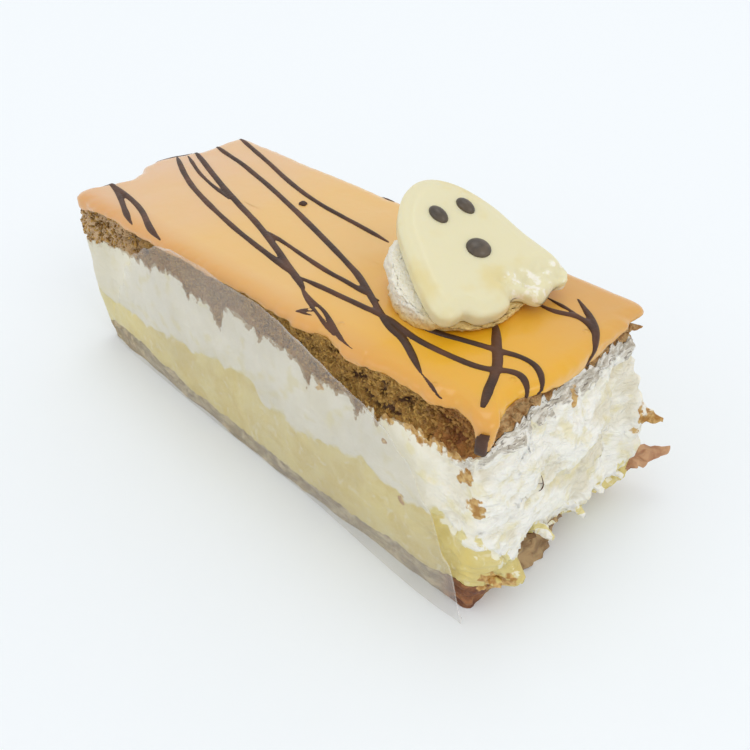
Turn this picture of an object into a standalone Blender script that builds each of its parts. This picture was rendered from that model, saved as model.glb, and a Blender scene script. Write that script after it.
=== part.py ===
"""A slice of mille feuille, 110 mm long, in metres with +Z up.

The clean end faces -X, the torn end +X, and the side that the clear film covers faces -Y.
Five layers lie on each other: base pastry, custard, whipped cream, top pastry and icing.
Each layer is a loft of rings round the slice, and two layers that meet share one outline
and one height line there, so they stay a constant gap apart.
"""

import math

import bmesh
import bpy
from mathutils import Matrix, Vector, noise

MM = 0.001

# The slice
LENGTH = 110 * MM
WIDTH = 42 * MM
CORNER_RADIUS = 1.5 * MM
ARC_STEPS = 2
COLUMN_STEP = 3.1 * MM
GAP = 0.34 * MM
INSET = 4.5 * MM

# Heights over the table at the middle of the length, and how much each rises from end to end
BASE_TOP = 4.4 * MM
CUSTARD_TOP = 15.2 * MM
CREAM_TOP = 30.3 * MM
PASTRY_TOP = 39.4 * MM
ICING_TOP = 41.1 * MM
CREAM_RISE = 4.6 * MM
TOP_RISE = 5.2 * MM

# Height lines along the filmed side, far end to torn end, evenly spaced
BASE_LINE = [value * MM for value in (6.2, 5.0, 4.4, 4.2, 4.0, 3.7, 4.0, 4.3, 4.7, 6.4)]
CUSTARD_LINE = [value * MM for value in (
    12.4, 12.1, 11.9, 12.4, 13.3, 14.3, 15.0, 14.8, 16.4, 17.8, 18.6,
    19.4, 15.4, 15.6, 15.2, 16.6, 18.8, 19.2, 18.0, 16.9, 18.6, 19.4, 17.0)]
CREAM_LINE = [value * MM for value in (
    28.0, 28.8, 29.1, 29.8, 30.8, 32.0, 32.6, 31.0, 31.0, 31.6, 33.4,
    32.8, 32.4, 32.2, 31.8, 31.0, 31.8, 31.8, 33.4, 34.2, 34.6, 34.9, 35.6)]

# Height lines across the torn end, filmed side to back
BASE_END = [value * MM for value in (6.4, 4.6, 6.0, 6.0, 3.8, 3.2, 3.2)]
CUSTARD_END = [value * MM for value in (17.0, 11.4, 9.0, 9.0, 7.4, 7.6, 10.5)]
CREAM_END = [value * MM for value in (36.2, 38.4, 38.8, 38.6, 38.4, 38.2, 37.0)]

# How far the torn end reaches out: rows from floor to pastry, each from the filmed side to the back
TORN_REACH = [[value * MM for value in row] for row in (
    (1.2, 0.8, 2.4, 2.0, 0.2, -0.8, -0.4),
    (1.4, 4.4, 1.6, 2.0, 2.4, 1.4, 1.4),
    (1.4, 3.8, 2.6, 3.4, 4.2, 2.2, 6.6),
    (1.4, 3.6, 3.8, 4.4, 5.0, 2.4, 6.4),
    (1.2, 3.0, 3.6, 3.8, 4.0, 2.2, 4.4),
    (0.2, 1.4, 1.8, 1.8, 1.6, 0.8, 0.6),
    (0.0, 0.0),
)]
TORN_REACH_TOP = 42 * MM

# How far the walls stand out of the plain block
FRONT_BOW = 1.5 * MM
CREAM_BULGE = 1.2 * MM
FAR_BULGE = 2.6 * MM
ROUGH = 0.5 * MM
TORN_ROUGH = 0.7 * MM
FLAKE_ROUGH = 0.7 * MM

# The long flake of base pastry at the torn end's back corner: root, tip, then how it curls up
SHARD_ROOT = Vector((52.5, 17.5, 2.1)) * MM
SHARD_TIP = Vector((63.9, 29.0, 2.1)) * MM
SHARD_LIFT = 6.4 * MM
SHARD_HALF_WIDTH = 3.4 * MM
SHARD_HALF_THICK = 1.1 * MM
SHARD_RINGS = 6
SHARD_SIDES = 8

# Icing: a poured coat whose lip hangs over the pastry's edge
LIP_OUT = 1.5 * MM
# How far it hangs, along the filmed side and across the torn end, on the other sides, and at the near corner
LIP_LINE = [value * MM for value in (
    2.2, 0.4, 0.0, 0.0, 0.4, 0.2, 0.0, 0.0, 0.0, 0.0, 0.0,
    0.0, 0.0, 0.0, 0.2, 0.0, 0.8, 0.0, 0.0, 0.0, 0.4, 0.0, 0.4)]
LIP_END = [value * MM for value in (1.2, 0.0, 0.0, 0.0, 0.2, 1.3, 1.9, 1.7, 1.8, 1.1, 0.2, 0.0, 0.2)]
LIP_PLAIN = 1.0 * MM
LIP_WAVE = 0.8 * MM
LEAST_LIP = 0.15 * MM
CORNER_DRIP = 3.1 * MM
CORNER_DRIP_WIDTH = 2.2 * MM

# Chocolate drizzle: a radius and the points on the icing that each strand passes over, in mm
STRANDS = (
    (0.70, (-56.0, -14.6), (-47.6, -16.6), (-41.0, -19.4), (-35.5, -21.4)),
    (0.75, (-55.2, -14.0), (-45.4, -15.4), (-38.3, -17.1), (-31.0, -20.0), (-25.6, -21.2)),
    (0.75, (-56.3, 3.9), (-45.3, -1.2), (-33.8, -5.0), (-14.8, -9.3), (2.6, -12.2), (5.0, -13.4)),
    (0.85, (-55.4, 8.4), (-33.2, 0.6), (-13.4, -5.5), (6.5, -13.3), (9.6, -15.0)),
    (0.60, (8.8, -14.8), (15.1, -18.1), (22.9, -20.7)),
    (0.55, (-54.9, 5.9), (-43.5, 1.6), (-28.9, -1.8)),
    (0.60, (-13.1, -5.2), (-3.5, -6.3), (7.2, -7.7), (13.9, -8.6)),
    (0.75, (5.5, -12.4), (24.7, -11.4), (35.0, -12.2), (43.5, -11.6), (49.7, -9.1), (55.8, -10.8)),
    (0.60, (8.8, -14.4), (16.6, -16.2), (22.4, -18.9), (28.4, -20.8)),
    (0.80, (-54.4, 13.5), (-34.2, 9.6), (-12.4, 3.5), (8.2, -3.2), (27.5, -12.3), (46.4, -20.6)),
    (0.70, (-54.2, 20.2), (-36.8, 15.5), (-16.5, 10.0), (9.0, 7.3)),
    (0.65, (30.0, -11.2), (35.5, -9.6), (41.2, -7.3), (46.4, -5.6), (52.1, -5.1), (55.8, -8.0)),
    (1.20, (43.6, -3.8), (47.4, -8.2), (50.9, -14.9), (52.7, -18.4)),
    (0.70, (43.0, 9.3), (49.3, 10.1), (52.2, 9.5), (55.8, 6.0)),
    (0.75, (46.5, 14.6), (52.0, 10.7), (55.4, 7.0)),
)
STRAND_STEP = 4.2 * MM
STRAND_SINK = 0.15 * MM

# The ghost: a chocolate plate that leans back on the cream under it
GHOST_FOOT = Vector((38.9, 5.8, 45.0)) * MM
GHOST_TILT = math.radians(18)
GHOST_TURN = math.radians(70.5)
GHOST_THICK = 4.0 * MM
GHOST_ROUND = 1.1 * MM
# Outline in the plate's plane in mm, from the head clockwise, with the wavy hem last
GHOST_OUTLINE = (
    (-4.6, 25.9), (-1.4, 24.9), (1.8, 21.8), (4.8, 16.2), (6.8, 9.4), (9.2, 3.4), (10.0, 0.0), (7.6, -2.4),
    (4.0, -4.2), (0.4, -2.8), (-3.0, -3.6), (-7.4, -4.9), (-11.2, -3.2), (-14.4, -3.2), (-16.0, -1.4),
    (-16.0, 4.0), (-15.0, 10.8), (-13.6, 17.2), (-10.6, 22.4), (-7.6, 25.0),
)
# Eyes and mouth on the plate in mm: centre across and along, half width and half length
GHOST_DROPS = ((-6.4, 16.6, 1.4, 2.1), (-0.9, 17.0, 1.3, 2.0), (-3.3, 7.7, 2.1, 2.3))
DROP_HEIGHT = 1.1 * MM

# Whipped cream under the ghost
DOLLOP_CENTRE = Vector((30.0, 2.4, 45.6)) * MM
DOLLOP_SIZE = Vector((12.0, 11.4, 8.0)) * MM
DOLLOP_ROUGH = 0.9 * MM

# Clear film against the filmed side
FILM_THICK = 0.4 * MM
FILM_STAND = 2.2 * MM
FILM_SPLAY = 1.6 * MM
FILM_START = -53 * MM
FILM_END = 57 * MM
FILM_LINE = [value * MM for value in (
    7.0, 14.0, 21.5, 29.0, 34.2, 37.6, 40.2, 41.4, 41.8, 42.2, 41.6,
    41.8, 42.0, 41.2, 39.6, 38.0, 36.4, 35.2, 32.8, 29.0, 21.6, 12.0, 1.6)]
FILM_COLUMNS = 26
FILM_ROWS = 3


def clear_scene():
    for item in list(bpy.data.objects):
        bpy.data.objects.remove(item, do_unlink=True)


def smooth(value, low, high):
    """Rise smoothly from 0 at low to 1 at high."""
    part = max(0.0, min(1.0, (value - low) / (high - low)))
    return part * part * (3 - 2 * part)


def mix(low, high, part):
    return low + (high - low) * part


def along(line, part):
    """Read an evenly spaced height line at part, from 0 to 1, on a smooth curve."""
    spot = max(0.0, min(1.0, part)) * (len(line) - 1)
    left = min(int(spot), len(line) - 2)
    return mix(line[left], line[left + 1], smooth(spot - left, 0, 1))


def grain(x, y, z, size, seed=0.0):
    """Even noise from about -1 to 1, with bumps of the given size."""
    return noise.noise(Vector((x / size + seed, y / size - seed, z / size + 0.37))) * 1.6


def perimeter():
    """Return each column's place on the plain block's outline and its outward normal."""
    columns = []
    half = Vector((LENGTH / 2 - CORNER_RADIUS, WIDTH / 2 - CORNER_RADIUS))
    for index, (side_x, side_y) in enumerate(((1, -1), (1, 1), (-1, 1), (-1, -1))):
        centre = Vector((side_x * half.x, side_y * half.y))
        for turn in range(ARC_STEPS + 1):
            angle = math.radians(90) * (index - 1 + turn / ARC_STEPS)
            normal = Vector((math.cos(angle), math.sin(angle)))
            columns.append((centre + normal * CORNER_RADIUS, normal))
        run = 2 * (half.x if index % 2 else half.y)
        heading = Vector((-normal.y, normal.x))
        count = round(run / COLUMN_STEP)
        start = columns[-1][0]
        for step in range(1, count):
            columns.append((start + heading * run * step / count, normal))
    return columns


def sides(normal):
    """How much a column belongs to the filmed side, the torn end, the back and the far end."""
    return max(0, -normal.y) ** 2, max(0, normal.x) ** 2, max(0, normal.y) ** 2, max(0, -normal.x) ** 2


def top_height(x):
    return ICING_TOP + TOP_RISE * x / LENGTH


def plane_height(level, x):
    """Height of a level in the middle of the slice, where the layers are flat."""
    flat = (0.0, BASE_TOP, CUSTARD_TOP, CREAM_TOP, PASTRY_TOP)[level]
    rise = (0.0, 0.0, 0.0, CREAM_RISE, TOP_RISE)[level]
    return flat + rise * x / LENGTH


def torn_reach(place, height):
    """How far the torn end stands out of the plain block at a height."""
    rows = [along(row, place.y / WIDTH + 0.5) for row in TORN_REACH]
    return along(rows, height / TORN_REACH_TOP)


def edge_height(level, place, normal):
    """Height of the line between two layers on the slice's walls."""
    plane = plane_height(level, place.x)
    if level in (0, 4):
        return plane
    front, torn, back, far = sides(normal)
    length_part = place.x / LENGTH + 0.5
    width_part = place.y / WIDTH + 0.5
    wave = 1.3 * MM * grain(place.x, place.y, 0, 11 * MM, 3.0 * level)
    plain = plane + wave
    front_line = along((None, BASE_LINE, CUSTARD_LINE, CREAM_LINE)[level], length_part)
    torn_line = plain
    if level == 1:
        torn_line = along(BASE_END, width_part)
    if level == 2:
        torn_line = along(CUSTARD_END, width_part)
    if level == 3:
        torn_line = along(CREAM_END, width_part)
    return front * front_line + torn * torn_line + back * plain + far * plain


def outset(level, place, normal):
    """How far the outline at a level stands out of the plain block."""
    front, torn, back, far = sides(normal)
    bow = FRONT_BOW * math.cos(math.pi * place.x / LENGTH)
    lean = (1.0, 0.9, 0.5, -0.3, -0.5)[level]
    wave = grain(place.x, place.y, 0, 6 * MM, 5.0 + level)
    reach = front * (bow * max(lean, 0) + 0.4 * MM * min(lean, 0))
    reach += back * (0.6 * MM * lean)
    reach += torn * (torn_reach(place, edge_height(level, place, normal)) + 0.3 * MM * wave)
    reach += far * (1.0 * MM + 0.5 * MM * wave)
    return reach + (front + back) * 0.3 * MM * wave


def bulge(name, place, normal, part, height, low, high):
    """Extra reach of one layer's wall between the reaches of its two outlines."""
    front, torn, back, far = sides(normal)
    belly = math.sin(math.pi * part)
    reach = torn * (torn_reach(place, height) - mix(low, high, part))
    if name == "cream":
        return reach + belly * (front * 0.3 * MM + back * CREAM_BULGE + far * FAR_BULGE)
    if name == "custard":
        return reach + belly * (front * 0.2 * MM + back * CREAM_BULGE + far * FAR_BULGE * 0.6)
    if name == "top_pastry":
        return -belly * 0.5 * MM
    return reach


def roughness(name, place, normal, height, part):
    """Uneven surface of one layer's wall, nothing at its two edges."""
    front, torn, back, far = sides(normal)
    belly = math.sin(math.pi * part)
    lumps = grain(place.x, place.y, height, 5 * MM, 9.0)
    if name == "cream":
        return belly * lumps * (torn * TORN_ROUGH + (1 - torn) * ROUGH * (1 - front * 0.6))
    if name == "custard":
        return belly * lumps * (torn * TORN_ROUGH * 0.8 + (1 - torn) * ROUGH * (1 - front * 0.6))
    if name == "top_pastry":
        return -belly * abs(lumps) * FLAKE_ROUGH
    return belly * lumps * FLAKE_ROUGH * (0.4 + torn)


def level_ring(columns, level, offset, inset):
    """Ring of points on a level, at the outline or inset from it onto the flat middle."""
    ring = []
    for place, normal in columns:
        if inset:
            shrink = Vector((1 - 2 * INSET / LENGTH, 1 - 2 * INSET / WIDTH))
            spot = Vector((place.x * shrink.x, place.y * shrink.y))
            height = plane_height(level, spot.x)
        else:
            spot = place + normal * outset(level, place, normal)
            height = edge_height(level, place, normal)
        ring.append(Vector((spot.x, spot.y, height + offset)))
    return ring


def wall_ring(name, columns, level, part, low, high):
    """Ring part of the way up a layer's wall, between its two outlines."""
    ring = []
    for place, normal in columns:
        reach = mix(outset(level, place, normal), outset(level + 1, place, normal), part)
        bottom = edge_height(level, place, normal)
        top = edge_height(level + 1, place, normal)
        height = mix(bottom + low, top - high, part)
        reach += bulge(name, place, normal, part, height, torn_reach(place, bottom), torn_reach(place, top))
        reach += roughness(name, place, normal, height, part)
        spot = place + normal * reach
        ring.append(Vector((spot.x, spot.y, height)))
    return ring


def loft(name, rings, under_bands):
    """Join rings of equal count into a closed solid, with flat caps on the first and last."""
    bm = bmesh.new()
    loops = [[bm.verts.new(point) for point in ring] for ring in rings]
    count = len(loops[0])
    for band, (low, high) in enumerate(zip(loops, loops[1:])):
        for index in range(count):
            after = (index + 1) % count
            corners = [low[index], low[after], high[after], high[index]]
            if band < under_bands:
                corners = corners[1:] + corners[:1]
            bm.faces.new((corners[0], corners[1], corners[2]))
            bm.faces.new((corners[0], corners[2], corners[3]))
    bm.faces.new(reversed(loops[0]))
    bm.faces.new(loops[-1])
    mesh = bpy.data.meshes.new(name)
    bm.to_mesh(mesh)
    bm.free()
    return bpy.data.objects.new(name, mesh)


def finish(item, collection, color, roughness_value, alpha=1.0):
    """Put a piece in the slice's collection, in its own material."""
    material = bpy.data.materials.new(item.name)
    material.use_nodes = True
    shader = material.node_tree.nodes["Principled BSDF"]
    shader.inputs["Base Color"].default_value = (*color, 1.0)
    shader.inputs["Roughness"].default_value = roughness_value
    shader.inputs["Metallic"].default_value = 0.0
    shader.inputs["Alpha"].default_value = alpha
    item.data.materials.clear()
    item.data.materials.append(material)
    collection.objects.link(item)


def make_layer(name, columns, level, rows):
    """One filling or pastry layer between two levels."""
    low = GAP / 2 if level else 0.0
    rings = [level_ring(columns, level, low, True), level_ring(columns, level, low, False)]
    for row in range(1, rows):
        rings.append(wall_ring(name, columns, level, row / rows, low, GAP / 2))
    rings.append(level_ring(columns, level + 1, -GAP / 2, False))
    rings.append(level_ring(columns, level + 1, -GAP / 2, True))
    return loft(name, rings, 1)


def make_base(columns):
    """Base pastry, with the long flake that was pulled out of its torn corner fused on."""
    base = make_layer("base_pastry", columns, 0, 3)
    run = SHARD_TIP - SHARD_ROOT
    across = Vector((-run.y, run.x, 0)).normalized()
    rings = []
    for ring_index in range(SHARD_RINGS):
        part = ring_index / (SHARD_RINGS - 1)
        centre = SHARD_ROOT + run * part
        centre.z += SHARD_LIFT * part ** 2.5
        slim = mix(1.0, 0.25, part ** 1.5) * (1 + 0.25 * grain(part, 0, 0, 0.22, 4.0))
        ring = []
        for side in range(SHARD_SIDES):
            angle = 2 * math.pi * side / SHARD_SIDES
            spot = centre + across * SHARD_HALF_WIDTH * slim * math.cos(angle)
            spot.z += SHARD_HALF_THICK * mix(1.0, 0.6, part) * math.sin(angle)
            ring.append(spot)
        rings.append(ring)
    fuse(base, [loft("shard", rings, 0)], "EXACT")
    return base


def lip_drop(place, normal):
    """How far the icing's lip hangs under the pastry's top edge."""
    front, torn, back, far = sides(normal)
    drop = front * along(LIP_LINE, place.x / LENGTH + 0.5) + torn * along(LIP_END, place.y / WIDTH + 0.5)
    drop += (back + far) * (LIP_PLAIN + LIP_WAVE * grain(place.x, place.y, 0, 7 * MM, 21.0))
    corner = (place - Vector((LENGTH / 2, -WIDTH / 2))).length
    drop += CORNER_DRIP * math.exp(-(corner / CORNER_DRIP_WIDTH) ** 2)
    return max(drop, LEAST_LIP)


def make_icing_coat(columns):
    """The poured icing without its drizzle."""
    # Ring by ring from the pastry's edge outwards and up: reach, share of the drop, rise
    profile = (
        (GAP, 0.0, GAP / 2), (GAP + 0.1 * MM, 0.8, 0.0), (0.9 * MM, 1.0, 0.0), (LIP_OUT, 0.6, 0.1 * MM),
        (LIP_OUT, 0.0, 0.7 * MM), (0.8 * MM, 0.0, 1.4 * MM), (-0.7 * MM, 0.0, 1.7 * MM),
    )
    rings = [level_ring(columns, 4, GAP / 2, True)]
    for reach, share, rise in profile:
        ring = []
        for place, normal in columns:
            spot = place + normal * (outset(4, place, normal) + reach)
            height = plane_height(4, place.x) - share * lip_drop(place, normal) + rise
            ring.append(Vector((spot.x, spot.y, height)))
        rings.append(ring)
    coat_depth = ICING_TOP - PASTRY_TOP
    rings.append(level_ring(columns, 4, coat_depth, True))
    return loft("icing", rings, 1)


def through(points, step):
    """Points evenly along a smooth curve that passes through the given ones."""
    ends = [points[0] * 2 - points[1], *points, points[-1] * 2 - points[-2]]
    result = []
    for before, start, end, after in zip(ends, ends[1:], ends[2:], ends[3:]):
        count = max(1, round((end - start).length / step))
        for index in range(count):
            t = index / count
            result.append(0.5 * (2 * start + (end - before) * t
                                 + (2 * before - 5 * start + 4 * end - after) * t ** 2
                                 + (3 * start - before - 3 * end + after) * t ** 3))
    result.append(points[-1])
    return result


def make_strand(index, radius, points):
    """One chocolate strand, half sunk in the icing's top, as a closed mesh."""
    curve = bpy.data.curves.new(f"strand_{index}", "CURVE")
    curve.dimensions = "3D"
    curve.bevel_depth = radius * MM
    curve.bevel_resolution = 1
    curve.use_fill_caps = True
    path = through([Vector(point) * MM for point in points], STRAND_STEP)
    spline = curve.splines.new("POLY")
    spline.points.add(len(path) - 1)
    for knot, point in zip(spline.points, path):
        height = top_height(point.x) - STRAND_SINK - 0.001 * MM * index
        knot.co = (point.x, point.y, height, 1.0)
    guide = bpy.data.objects.new(curve.name, curve)
    bpy.context.scene.collection.objects.link(guide)
    view = bpy.context.evaluated_depsgraph_get()
    mesh = bpy.data.meshes.new_from_object(guide.evaluated_get(view))
    bpy.data.objects.remove(guide, do_unlink=True)
    bm = bmesh.new()
    bm.from_mesh(mesh)
    bmesh.ops.remove_doubles(bm, verts=bm.verts, dist=0.00001)
    bm.to_mesh(mesh)
    bm.free()
    return bpy.data.objects.new(curve.name, mesh)


def fuse(item, extras, solver):
    """Fuse closed pieces to item with one Boolean union, and remove them."""
    joined = bpy.data.collections.new(item.name + "_fused")
    bpy.context.scene.collection.children.link(joined)
    for extra in extras:
        extra.hide_render = True
        extra.display_type = "WIRE"
        joined.objects.link(extra)
    union = item.modifiers.new("Fused", "BOOLEAN")
    union.operation = "UNION"
    union.operand_type = "COLLECTION"
    union.collection = joined
    union.solver = solver
    bpy.context.scene.collection.objects.link(item)
    view = bpy.context.evaluated_depsgraph_get()
    mesh = bpy.data.meshes.new_from_object(item.evaluated_get(view))
    item.modifiers.remove(union)
    bpy.context.scene.collection.objects.unlink(item)
    item.data = mesh
    for extra in extras:
        bpy.data.objects.remove(extra, do_unlink=True)
    bpy.data.collections.remove(joined)


def ghost_matrix():
    """From the plate's plane, across, along to the head and out, to the slice."""
    across = Vector((math.cos(GHOST_TURN), math.sin(GHOST_TURN), 0))
    level = Vector((-across.y, across.x, 0))
    head = math.cos(GHOST_TILT) * level + math.sin(GHOST_TILT) * Vector((0, 0, 1))
    out = across.cross(head)
    frame = Matrix((across, head, out)).transposed().to_4x4()
    return Matrix.Translation(GHOST_FOOT) @ frame


def closed_curve(points, per_side):
    """Points on a closed smooth curve through the given ones."""
    count = len(points)
    result = []
    for index in range(count):
        before, start, end, after = (points[(index + shift) % count] for shift in (-1, 0, 1, 2))
        for step in range(per_side):
            t = step / per_side
            result.append(0.5 * (2 * start + (end - before) * t
                                 + (2 * before - 5 * start + 4 * end - after) * t ** 2
                                 + (3 * start - before - 3 * end + after) * t ** 3))
    return result


def make_ghost():
    """A moulded plate with a round edge, and three chocolate drops fused to its face."""
    outline = closed_curve([Vector(point) * MM for point in reversed(GHOST_OUTLINE)], 2)
    count = len(outline)
    inward = []
    for index in range(count):
        heading = outline[(index + 1) % count] - outline[index - 1]
        inward.append(Vector((-heading.y, heading.x)).normalized())
    # Ring by ring from the back to the face: inset and height over the back
    profile = (
        (GHOST_ROUND, 0.0), (0.3 * MM, 0.6 * MM), (0.0, 1.6 * MM), (0.0, 2.6 * MM),
        (0.4 * MM, 3.5 * MM), (GHOST_ROUND, GHOST_THICK),
    )
    place = ghost_matrix()
    rings = []
    for inset, height in profile:
        ring = []
        for point, way in zip(outline, inward):
            spot = point + way * inset
            ring.append(place @ Vector((spot.x, spot.y, height)))
        rings.append(ring)
    ghost = loft("ghost", rings, 0)
    drops = []
    for index, (across, head, half_width, half_length) in enumerate(GHOST_DROPS):
        bm = bmesh.new()
        bmesh.ops.create_uvsphere(bm, u_segments=12, v_segments=6, radius=1.0)
        size = Matrix.Diagonal((half_width * MM, half_length * MM, DROP_HEIGHT, 1.0))
        spot = Matrix.Translation((across * MM, head * MM, GHOST_THICK))
        bm.transform(place @ spot @ size)
        mesh = bpy.data.meshes.new(f"drop_{index}")
        bm.to_mesh(mesh)
        bm.free()
        drops.append(bpy.data.objects.new(mesh.name, mesh))
    fuse(ghost, drops, "EXACT")
    return ghost


def make_dollop():
    """Whipped cream between the icing and the ghost's back, flat where it meets them."""
    plate = ghost_matrix()
    to_plate = plate.inverted()
    bm = bmesh.new()
    bmesh.ops.create_uvsphere(bm, u_segments=20, v_segments=12, radius=1.0)
    for vertex in bm.verts:
        way = vertex.co.copy()
        lumps = grain(way.x, way.y, way.z, 0.55, 31.0)
        spot = DOLLOP_CENTRE + Vector((way.x * DOLLOP_SIZE.x, way.y * DOLLOP_SIZE.y, way.z * DOLLOP_SIZE.z))
        spot += way * DOLLOP_ROUGH * lumps
        spot.z = max(spot.z, top_height(spot.x) + GAP)
        local = to_plate @ spot
        local.z = min(local.z, -GAP)
        vertex.co = plate @ local
    mesh = bpy.data.meshes.new("cream_dollop")
    bm.to_mesh(mesh)
    bm.free()
    return bpy.data.objects.new("cream_dollop", mesh)


def make_film():
    """The film strip: an upright sheet with a slanting top edge, given its thickness by Solidify."""
    bm = bmesh.new()
    bmesh.ops.create_grid(bm, x_segments=FILM_COLUMNS, y_segments=FILM_ROWS, size=0.5)
    for vertex in bm.verts:
        part = vertex.co.x + 0.5
        rise = vertex.co.y + 0.5
        x = mix(FILM_START, FILM_END, part)
        height = mix(GAP, along(FILM_LINE, part), rise)
        splay = FILM_SPLAY * (1 - rise) ** 2 * smooth(part, 0.6, 1.0)
        vertex.co = (x, -(WIDTH / 2 + FILM_STAND + splay), height)
    mesh = bpy.data.meshes.new("film")
    bm.to_mesh(mesh)
    bm.free()
    film = bpy.data.objects.new("film", mesh)
    wall = film.modifiers.new("Thickness", "SOLIDIFY")
    wall.thickness = FILM_THICK
    wall.offset = 1.0
    return film


def build():
    clear_scene()
    slice_parts = bpy.data.collections.new("mille_feuille_slice")
    bpy.context.scene.collection.children.link(slice_parts)
    columns = perimeter()
    finish(make_base(columns), slice_parts, (0.22, 0.10, 0.045), 0.8)
    finish(make_layer("custard", columns, 1, 5), slice_parts, (0.80, 0.62, 0.22), 0.45)
    finish(make_layer("cream", columns, 2, 8), slice_parts, (0.84, 0.82, 0.74), 0.55)
    finish(make_layer("top_pastry", columns, 3, 4), slice_parts, (0.30, 0.15, 0.05), 0.8)
    icing = make_icing_coat(columns)
    strands = [make_strand(index, radius, points) for index, (radius, *points) in enumerate(STRANDS)]
    fuse(icing, strands, "EXACT")
    finish(icing, slice_parts, (0.85, 0.40, 0.08), 0.25)
    finish(make_dollop(), slice_parts, (0.85, 0.83, 0.76), 0.55)
    finish(make_ghost(), slice_parts, (0.80, 0.74, 0.45), 0.35)
    finish(make_film(), slice_parts, (0.80, 0.80, 0.78), 0.1, 0.3)


build()
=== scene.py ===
import math

import bmesh
import bpy
from mathutils import Matrix, Vector, noise
from mathutils.bvhtree import BVHTree


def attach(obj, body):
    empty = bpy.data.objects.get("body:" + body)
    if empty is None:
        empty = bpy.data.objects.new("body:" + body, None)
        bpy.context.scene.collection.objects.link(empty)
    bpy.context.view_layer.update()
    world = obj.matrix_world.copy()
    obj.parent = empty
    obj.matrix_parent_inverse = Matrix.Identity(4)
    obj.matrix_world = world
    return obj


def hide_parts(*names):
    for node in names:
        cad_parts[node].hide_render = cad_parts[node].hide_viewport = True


MM = 0.001

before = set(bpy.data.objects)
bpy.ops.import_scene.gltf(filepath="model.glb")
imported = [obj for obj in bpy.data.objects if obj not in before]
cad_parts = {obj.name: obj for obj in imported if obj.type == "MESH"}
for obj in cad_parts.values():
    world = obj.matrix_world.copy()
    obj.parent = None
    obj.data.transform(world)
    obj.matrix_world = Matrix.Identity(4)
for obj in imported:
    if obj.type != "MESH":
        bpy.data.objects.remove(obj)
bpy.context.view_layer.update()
# The folds' noise would otherwise start from the clock and differ in every run
FOLD_SEED = 5
noise.seed_set(FOLD_SEED)

# The slice, as in the frame: far end at -X, torn end at +X, filmed side at -Y
LENGTH = 110 * MM
WIDTH = 42 * MM
CORNER_RADIUS = 1.5 * MM
INSET = 4.5 * MM
BASE_TOP = 4.4 * MM
CUSTARD_TOP = 15.2 * MM
CREAM_TOP = 30.3 * MM
PASTRY_TOP = 39.4 * MM
ICING_TOP = 41.1 * MM
CREAM_RISE = 4.6 * MM
TOP_RISE = 5.2 * MM

# Spacing of the walls' columns where they are seen and elsewhere, and for the top pastry's finer wall
COLUMN_STEPS = (0.40 * MM, 0.7 * MM)
FINE_COLUMN_STEPS = (0.28 * MM, 0.6 * MM)

# Height lines along the filmed side, far end to torn end, evenly spaced
BASE_LINE = [value * MM for value in (6.2, 5.0, 4.3, 4.0, 3.7, 3.3, 3.4, 3.7, 4.3, 6.4)]
CUSTARD_LINE = [value * MM for value in (
    12.4, 12.1, 11.9, 12.4, 13.3, 14.3, 15.0, 14.8, 16.4, 17.8, 18.6,
    19.4, 15.4, 15.6, 15.2, 16.6, 18.8, 19.2, 18.0, 16.9, 18.6, 19.4, 17.0)]
CREAM_LINE = [value * MM for value in (
    28.0, 28.8, 29.1, 29.8, 30.8, 32.0, 32.6, 31.0, 31.0, 31.6, 33.4,
    32.8, 32.4, 32.2, 31.8, 31.0, 31.8, 31.8, 33.4, 34.2, 34.6, 34.9, 35.6)]

# Height lines across the torn end, filmed side to back
BASE_END = [value * MM for value in (6.4, 4.6, 6.8, 7.4, 3.6, 3.0, 3.2)]
CUSTARD_END = [value * MM for value in (17.0, 11.0, 8.2, 6.6, 6.0, 7.4, 10.5)]
CREAM_END = [value * MM for value in (36.2, 39.0, 39.8, 39.6, 39.4, 39.2, 37.0)]

# Crumb smears that the film pressed down from the pastry over the cream: x, length and half width
SMEARS = (
    (-32.7 * MM, 1.6 * MM, 1.6 * MM),
    (-19.5 * MM, 2.2 * MM, 1.0 * MM),
    (-9.5 * MM, 4.6 * MM, 1.5 * MM),
    (3.0 * MM, 1.4 * MM, 1.0 * MM),
    (16.6 * MM, 3.4 * MM, 0.8 * MM),
    (29.2 * MM, 3.6 * MM, 0.8 * MM),
    (34.0 * MM, 1.6 * MM, 0.7 * MM),
)

# How far the torn end reaches out: rows from floor to pastry, each from the filmed side to the back
TORN_REACH = [[value * MM for value in row] for row in (
    (1.2, 1.0, 0.6, 1.4, 2.6, 3.0, 2.6, 0.4, -1.6, -2.0, -2.0, -1.6, -0.4),
    (1.4, 2.6, 6.2, 1.6, 0.4, 1.2, 2.2, 1.8, 4.0, 2.4, 3.4, 4.6, 6.2),
    (1.4, 2.6, 3.8, 3.0, 2.6, 3.0, 3.4, 4.0, 4.2, 3.6, 1.6, 3.6, 7.2),
    (1.4, 2.6, 3.6, 3.4, 3.8, 3.4, 4.4, 4.8, 5.0, 4.6, 1.4, 3.4, 6.8),
    (1.2, 2.4, 3.0, 3.8, 3.6, 4.2, 3.8, 4.6, 4.4, 4.0, 1.4, 2.2, 4.4),
    (0.2, 0.8, 1.4, 1.0, 1.8, 1.2, 1.8, 1.4, 1.6, 1.2, 0.8, 0.8, 0.6),
    (0.0, 0.0),
)]
TORN_REACH_TOP = 42 * MM

# The smooth, set back patch of the torn cream near the back corner
RECESS_Y = 16.2 * MM
RECESS_Z = 20 * MM
# The hollow in the top pastry beside the near corner
CAVITY_X = 49 * MM
CAVITY_DEPTH = 1.4 * MM

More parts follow.
